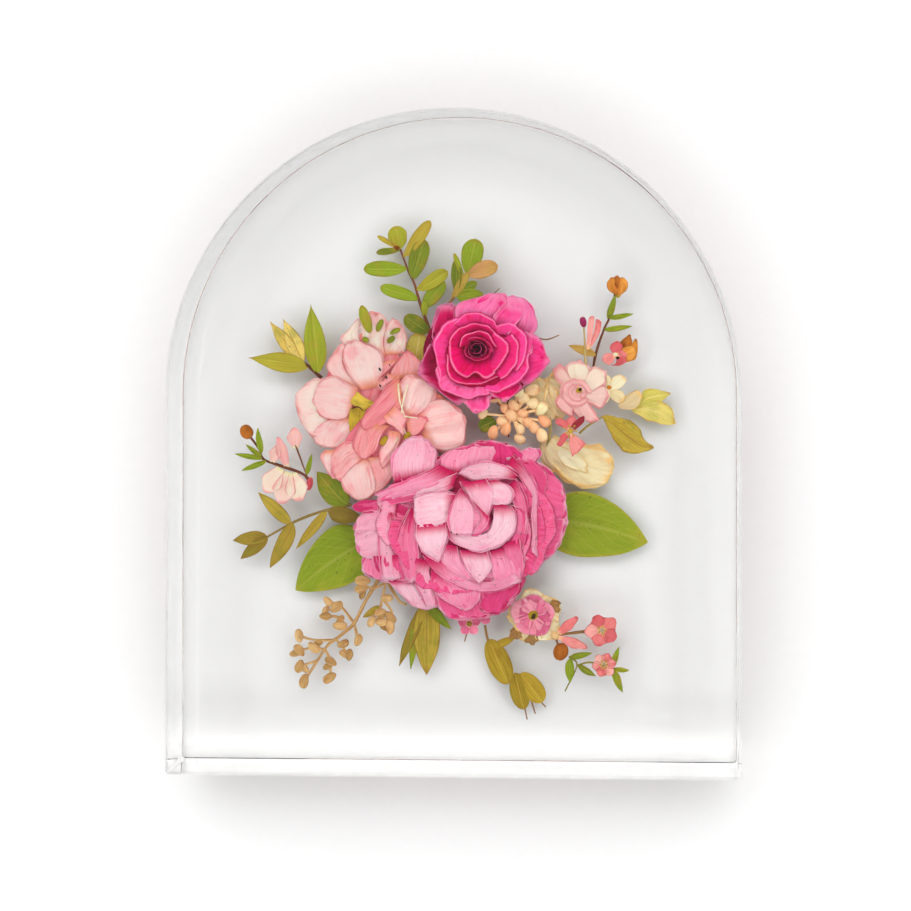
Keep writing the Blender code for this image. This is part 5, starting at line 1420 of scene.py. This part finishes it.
def bud_magenta(plant):
    """The coral trumpet and its magenta bud."""
    stem(plant, [(46.9, 25.2), (46.6, 34), (46.1, 41)], UPPER + 0.6, 0.95, radius=0.45)
    lump(plant, (45.9, 42.6), UPPER + 0.6, (2.0, 1.2, 1.2), 0.0, "mauve", turn=100)
    small_petals(plant, TRUMPET, UPPER + 0.6, "coral", dome=0.7)


def flower_coral(plant):
    """The small coral flower under the capsule."""
    small_petals(plant, CORAL_FLOWER, UPPER, "coral", dome=0.6)
    lump(plant, (57.4, 30.9), UPPER + 0.8, (0.8, 0.7, 0.6), 1.0, "cream")
    lump(plant, (58.4, 29.6), UPPER + 0.7, (0.8, 0.5, 0.5), 0.0, "anther")


def blossom_cream(plant):
    """The cream blossom with a tan petal at the right."""
    small_petals(plant, CREAM_BLOSSOM, UPPER - 2.6, "cream", dome=0.6)
    small_petals(plant, TAN_PETAL, UPPER - 2.6, "cream", dome=0.7, ruffle=0.5)
    lump(plant, (55.3, 19.0), UPPER - 1.8, (0.9, 0.7, 0.6), 0.6, "bud")
    lump(plant, (53.2, 13.3), UPPER - 1.8, (0.6, 0.5, 0.5), 0.0, "anther")


def capsule_brown(plant):
    """The brown capsule at the upper right."""
    small_petals(plant, CAPSULE, MIDDLE, "bud", dome=1.4, crinkle=0.3, ruffle=0.3)
    stem(plant, [(62, 31), (58.6, 26.6)], MIDDLE, 0.95, radius=0.4)


def blush_bloom_upper(plant):
    """The upper pale bloom at the left: thin round petals about an olive throat."""
    low = UPPER - 0.6
    lump(plant, (-34, 17), low - 0.2, (19, 14, 0.5), 0.1, "blush", turn=75, rough=0.12, rings=20, segments=36)
    layered(plant, BLUSH_UPPER, low, "blush", dome=0.5, ruffle=0.7, crinkle=0.4)
    for base, tip, width, tone in (
        ((-30.8, 38.5), (-33.7, 48.6), 3.6, 0.5), ((-28.2, 39), (-26.2, 43.4), 2.0, 0.3),
        ((-24.5, 35), (-21.8, 37.2), 2.0, 0.2), ((-23.6, 38.4), (-19.8, 40), 1.6, 0.35),
        ((-33.5, 36.8), (-31.2, 35.6), 1.8, 0.3),
    ):
        leaf(plant, base, tip, width, low + 1.6, tone, "sprig", form=OVAL, rows=14)
    drawn(plant, THROAT, low, "throat")
    for place, size in (((-27.2, 25.5), 0.6), ((-24.8, 22.6), 0.55), ((-27, 19.5), 0.6), ((-23.6, 27), 0.5)):
        lump(plant, place, low + 2.6, (size * 1.2, size * 0.6, 0.4), 0.0, "anther", turn=120, rings=8,
             segments=10)
    stem(plant, [(-37.4, 11.4), (-35.2, 12.0), (-33.2, 10.6)], low + 2.2, 0.0, radius=0.25)


def blush_bloom_lower(plant):
    """The lower pale bloom: a veined fan, folded tongues and a broad striped petal."""
    low = FRONT - 0.6
    lump(plant, (-22, 1), low - 0.3, (21, 14, 0.5), 0.0, "blush", turn=35, rough=0.12, rings=20, segments=36)
    layered(plant, BLUSH_LOWER, low, "blush", tint=-0.12, dome=0.6, ruffle=0.6, crinkle=0.42)
    for place in ((-25.3, 0), (-17.0, 1.6)):
        lump(plant, place, FRONT + 1.0, (1.9, 1.3, 0.8), 0.4, "throat", turn=50, rough=0.15)
    for route in ([(-20.3, 20.5), (-19.6, 14), (-18, 9)], [(-16.8, 20), (-18.5, 14), (-19.2, 9)],
                  [(-18.4, 8.8), (-13, 8)], [(-19.5, 7), (-17.5, 2.5)], [(-20.4, 1.0), (-23.5, -4)]):
        stem(plant, route, FRONT + 1.9, 1.0, radius=0.32, finish="cream")


def rose(plant):
    """The hot pink rose: open petals, standing ones round its middle and a tight centre."""
    # Two deep toned lumps under the petals: painted shade that shows in the gaps between them.
    lump(plant, (9.5, 31.5), 20.6, (20, 17, 0.7), 0.12, "rose", rough=0.06, rings=24, segments=48)
    lump(plant, (9.5, 31.5), 22.3, (14, 12.5, 1.4), 0.3, "rose", rough=0.06, rings=24, segments=40)
    layered(plant, ROSE_OUTER, 0.0, "rose", dome=0.9, ruffle=1.0, crinkle=0.5, ragged=0.6)
    for outer, inner, top, tone in ROSE_BANDS:
        band(plant, outer, inner, top, tone, "rose", fall_out=1.3, fall_in=3.4, ruffle=0.6, crinkle=0.22)
    for turn, span, radius, top, tone in (
        (60, 150, 4.9, 28.5, 0.3), (190, 120, 4.3, 28.3, 0.22), (300, 140, 4.6, 28.6, 0.26),
        (20, 170, 3.3, 28.4, 0.1), (215, 150, 3.0, 28.2, 0.06), (120, 130, 2.2, 28.3, 0.08),
        (330, 190, 1.5, 28.0, 0.0),
    ):
        heart = [middle + plant.random.uniform(-0.5, 0.5) for middle in ROSE_HEART]
        cupped(plant, heart, turn, span, radius * 0.55, radius, 23.6, top, tone * 3, "rose_heart", roll=0.1,
               ruffle=0.5, crinkle=0.16, rows=12)
    for route in ([(12.5, 48), (13.4, 51.5), (16.2, 54.5)], [(29, 37), (33, 36.2), (37.5, 37.8)]):
        stem(plant, route, 20.4, 0.4, radius=0.28, end_radius=0.2)


def peony(plant):
    """The large wrinkled bloom: guard petals, sweeping folds, and a cup of petals round a bud."""
    middle = Vector(PEONY_MIDDLE)
    # A flat lump of the deepest tone under the whole bloom: painted shade that shows in the gaps between
    # petals.
    lump(plant, middle, 19.4, (29, 25, 0.8), 0.04, "peony", rough=0.06, rings=24, segments=48)
    for outward in ring_of(15, 8):
        reach = Vector((outward.x * 32, outward.y * 27)) * plant.random.uniform(0.93, 1.0)
        petal(plant, middle + reach * 0.45, middle + reach, plant.random.uniform(12, 17), 20.2, 20.6,
              plant.random.uniform(0.15, 0.7), "peony", ragged=0.05, ruffle=0.8, crinkle=0.4, notch=0.05,
              rows=16, columns=16)
    # Another deep toned lump under the folds and cup: painted shade in their gaps.
    lump(plant, (6.5, -29.5), 22.0, (21.5, 19.5, 1.3), 0.06, "peony", rough=0.08, rings=24, segments=40)
    layered(plant, PEONY_GUARDS, 0.0, "peony", tint=-0.06, dome=0.6, ruffle=0.9, crinkle=0.5, ragged=0.6)
    layered(plant, PEONY_FOLDS, 0.0, "peony", dome=0.5, ruffle=0.9, crinkle=0.6)
    for turn, span, reach in (
        (-18, 75, 24), (12, 60, 28), (-30, 60, 28.5), (-62, 70, 26), (-75, 60, 21.5), (-100, 60, 27),
        (200, 50, 25), (175, 45, 28.5), (-5, 70, 31), (40, 45, 26),
    ):
        angles = np.radians(turn + span * np.linspace(-0.5, 0.5, 6))
        uneven = 1 + 0.04 * waver(plant.random, angles * 5, angles * 0)
        outer, inner = ([(3 + cos(a) * r * u, -30 + 0.86 * sin(a) * r * u) for a, u in zip(angles, uneven)]
                        for r in (reach + 1.4, reach - 2.6))
        band(plant, outer, inner, 24.6 - 0.1 * (reach - 20), plant.random.uniform(0.35, 0.85), "peony",
             fall_out=1.6, fall_in=2.0, ruffle=0.8, crinkle=0.3)
    layered(plant, PEONY_CUP, 0.0, "peony", tint=0.1, dome=0.4, ruffle=0.7, crinkle=0.5)
    lump(plant, (5.8, -26.0), 26.0, (7.0, 7.2, 3.6), 0.72, "peony", rough=0.06, rings=20, segments=30)
    for place in (
        (-0.2, -31.8), (1.6, -32.3), (3.4, -31.6), (7.3, -31.9), (3.6, -18.2), (2.6, -21.2), (3.9, -26.7),
    ):
        lump(plant, place, 29.2, (0.5, 0.35, 0.3), 0.0, "bud", rings=6, segments=8, turn=place[0] * 40)


def floor():
    """A plain white surface under the block."""
    bpy.ops.mesh.primitive_plane_add(size=FLOOR_SIZE, location=(0, 0, -FLOOR_DROP))
    made = bpy.context.object
    made.name = "floor"
    material = bpy.data.materials.new("white_floor")
    graph = Graph(material)
    darker, lighter = ((FLOOR_WHITE + change,) * 3 for change in (-FLOOR_GRAIN, FLOOR_GRAIN))
    shader = graph.node("ShaderNodeBsdfPrincipled", {
        "Base Color": graph.mix(graph.noise(graph.place(), FLOOR_GRAIN_SCALE), darker, lighter),
        "Roughness": 0.9,
        "Specular IOR Level": 0.0,
    })
    graph.node("ShaderNodeOutputMaterial", {"Surface": shader.outputs[0]})
    made.data.materials.append(material)


def studio_light():
    """An even white surround with a broad brighter patch beyond the top of the arch."""
    world = bpy.data.worlds.new("studio")
    bpy.context.scene.world = world
    graph = Graph(world)
    direction = graph.node("ShaderNodeTexCoord").outputs["Generated"]
    vectors = (direction, tuple(Vector(PATCH_DIRECTION).normalized()))
    toward = graph.node("ShaderNodeVectorMath", vectors, operation="DOT_PRODUCT").outputs["Value"]
    near = graph.math("POWER", graph.math("MAXIMUM", toward, 0.0), PATCH_SHARPNESS)
    shade = graph.span(graph.split(direction)[2], *OVERHEAD_EDGE, 1.0, 1.0 - OVERHEAD_SHADE)
    level = graph.math("MULTIPLY", graph.math("MULTIPLY_ADD", near, PATCH, GLOW), shade)
    back = graph.node("ShaderNodeBackground", {"Color": (1.0, 1.0, 1.0), "Strength": level})
    graph.node("ShaderNodeOutputWorld", {"Surface": back.outputs[0]})


def camera():
    """The photograph's view: from above, with the lens shifted over the block."""
    data = bpy.data.cameras.new("camera")
    data.lens = FOCAL_LENGTH
    data.sensor_width = SENSOR_WIDTH
    data.shift_x, data.shift_y = CAMERA_SHIFT
    made = bpy.data.objects.new("camera", data)
    bpy.context.scene.collection.objects.link(made)
    made.location = CAMERA_PLACE
    drop = CAMERA_PLACE[2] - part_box("resin_front")[1].z
    made.rotation_euler.y = atan2(CAMERA_PLACE[0] - CAMERA_AIM_X, drop)
    bpy.context.scene.camera = made


def light_paths():
    """Lets light through the block: its own bends, and the bends of what it lights."""
    cycles = bpy.context.scene.cycles
    cycles.max_bounces = BLOCK_BOUNCES
    cycles.transmission_bounces = BLOCK_BOUNCES
    cycles.diffuse_bounces = DIFFUSE_BOUNCES
    cycles.caustics_refractive = True
    cycles.caustics_reflective = True
    cycles.blur_glossy = 0.0
    bpy.context.scene.view_settings.view_transform = "Standard"


# Every plant, with the seed of its random draws
PLANTS = (
    (leaf_big_left, 11), (leaf_big_right, 12), (leaf_bottom_pair, 13), (leaf_yellow_behind, 14),
    (leaf_yellow_right, 15), (leaf_ruffled, 16), (sprig_top_left, 21), (sprig_top_centre, 22),
    (sprig_left_pointed, 23), (sprig_left_buds, 24), (sprig_left_olive, 25), (seed_sprig, 31),
    (seed_cluster, 32), (flower_small_pink, 41), (pod_sprig, 42), (anemone, 43), (trumpet_sprig, 44),
    (blossom_sprig, 45), (bead_cluster, 51), (cream_petals, 52), (wax_flower, 53), (coral_star, 54),
    (sprig_right, 61), (bud_magenta, 62), (flower_coral, 63), (blossom_cream, 64), (capsule_brown, 65),
    (blush_bloom_upper, 71), (blush_bloom_lower, 72), (rose, 81), (peony, 91),
)

camera()
for build, seed in PLANTS:
    plant = Plant(build.__name__, seed)
    build(plant)
    plant.show()
resin_block()
floor()
studio_light()
light_paths()
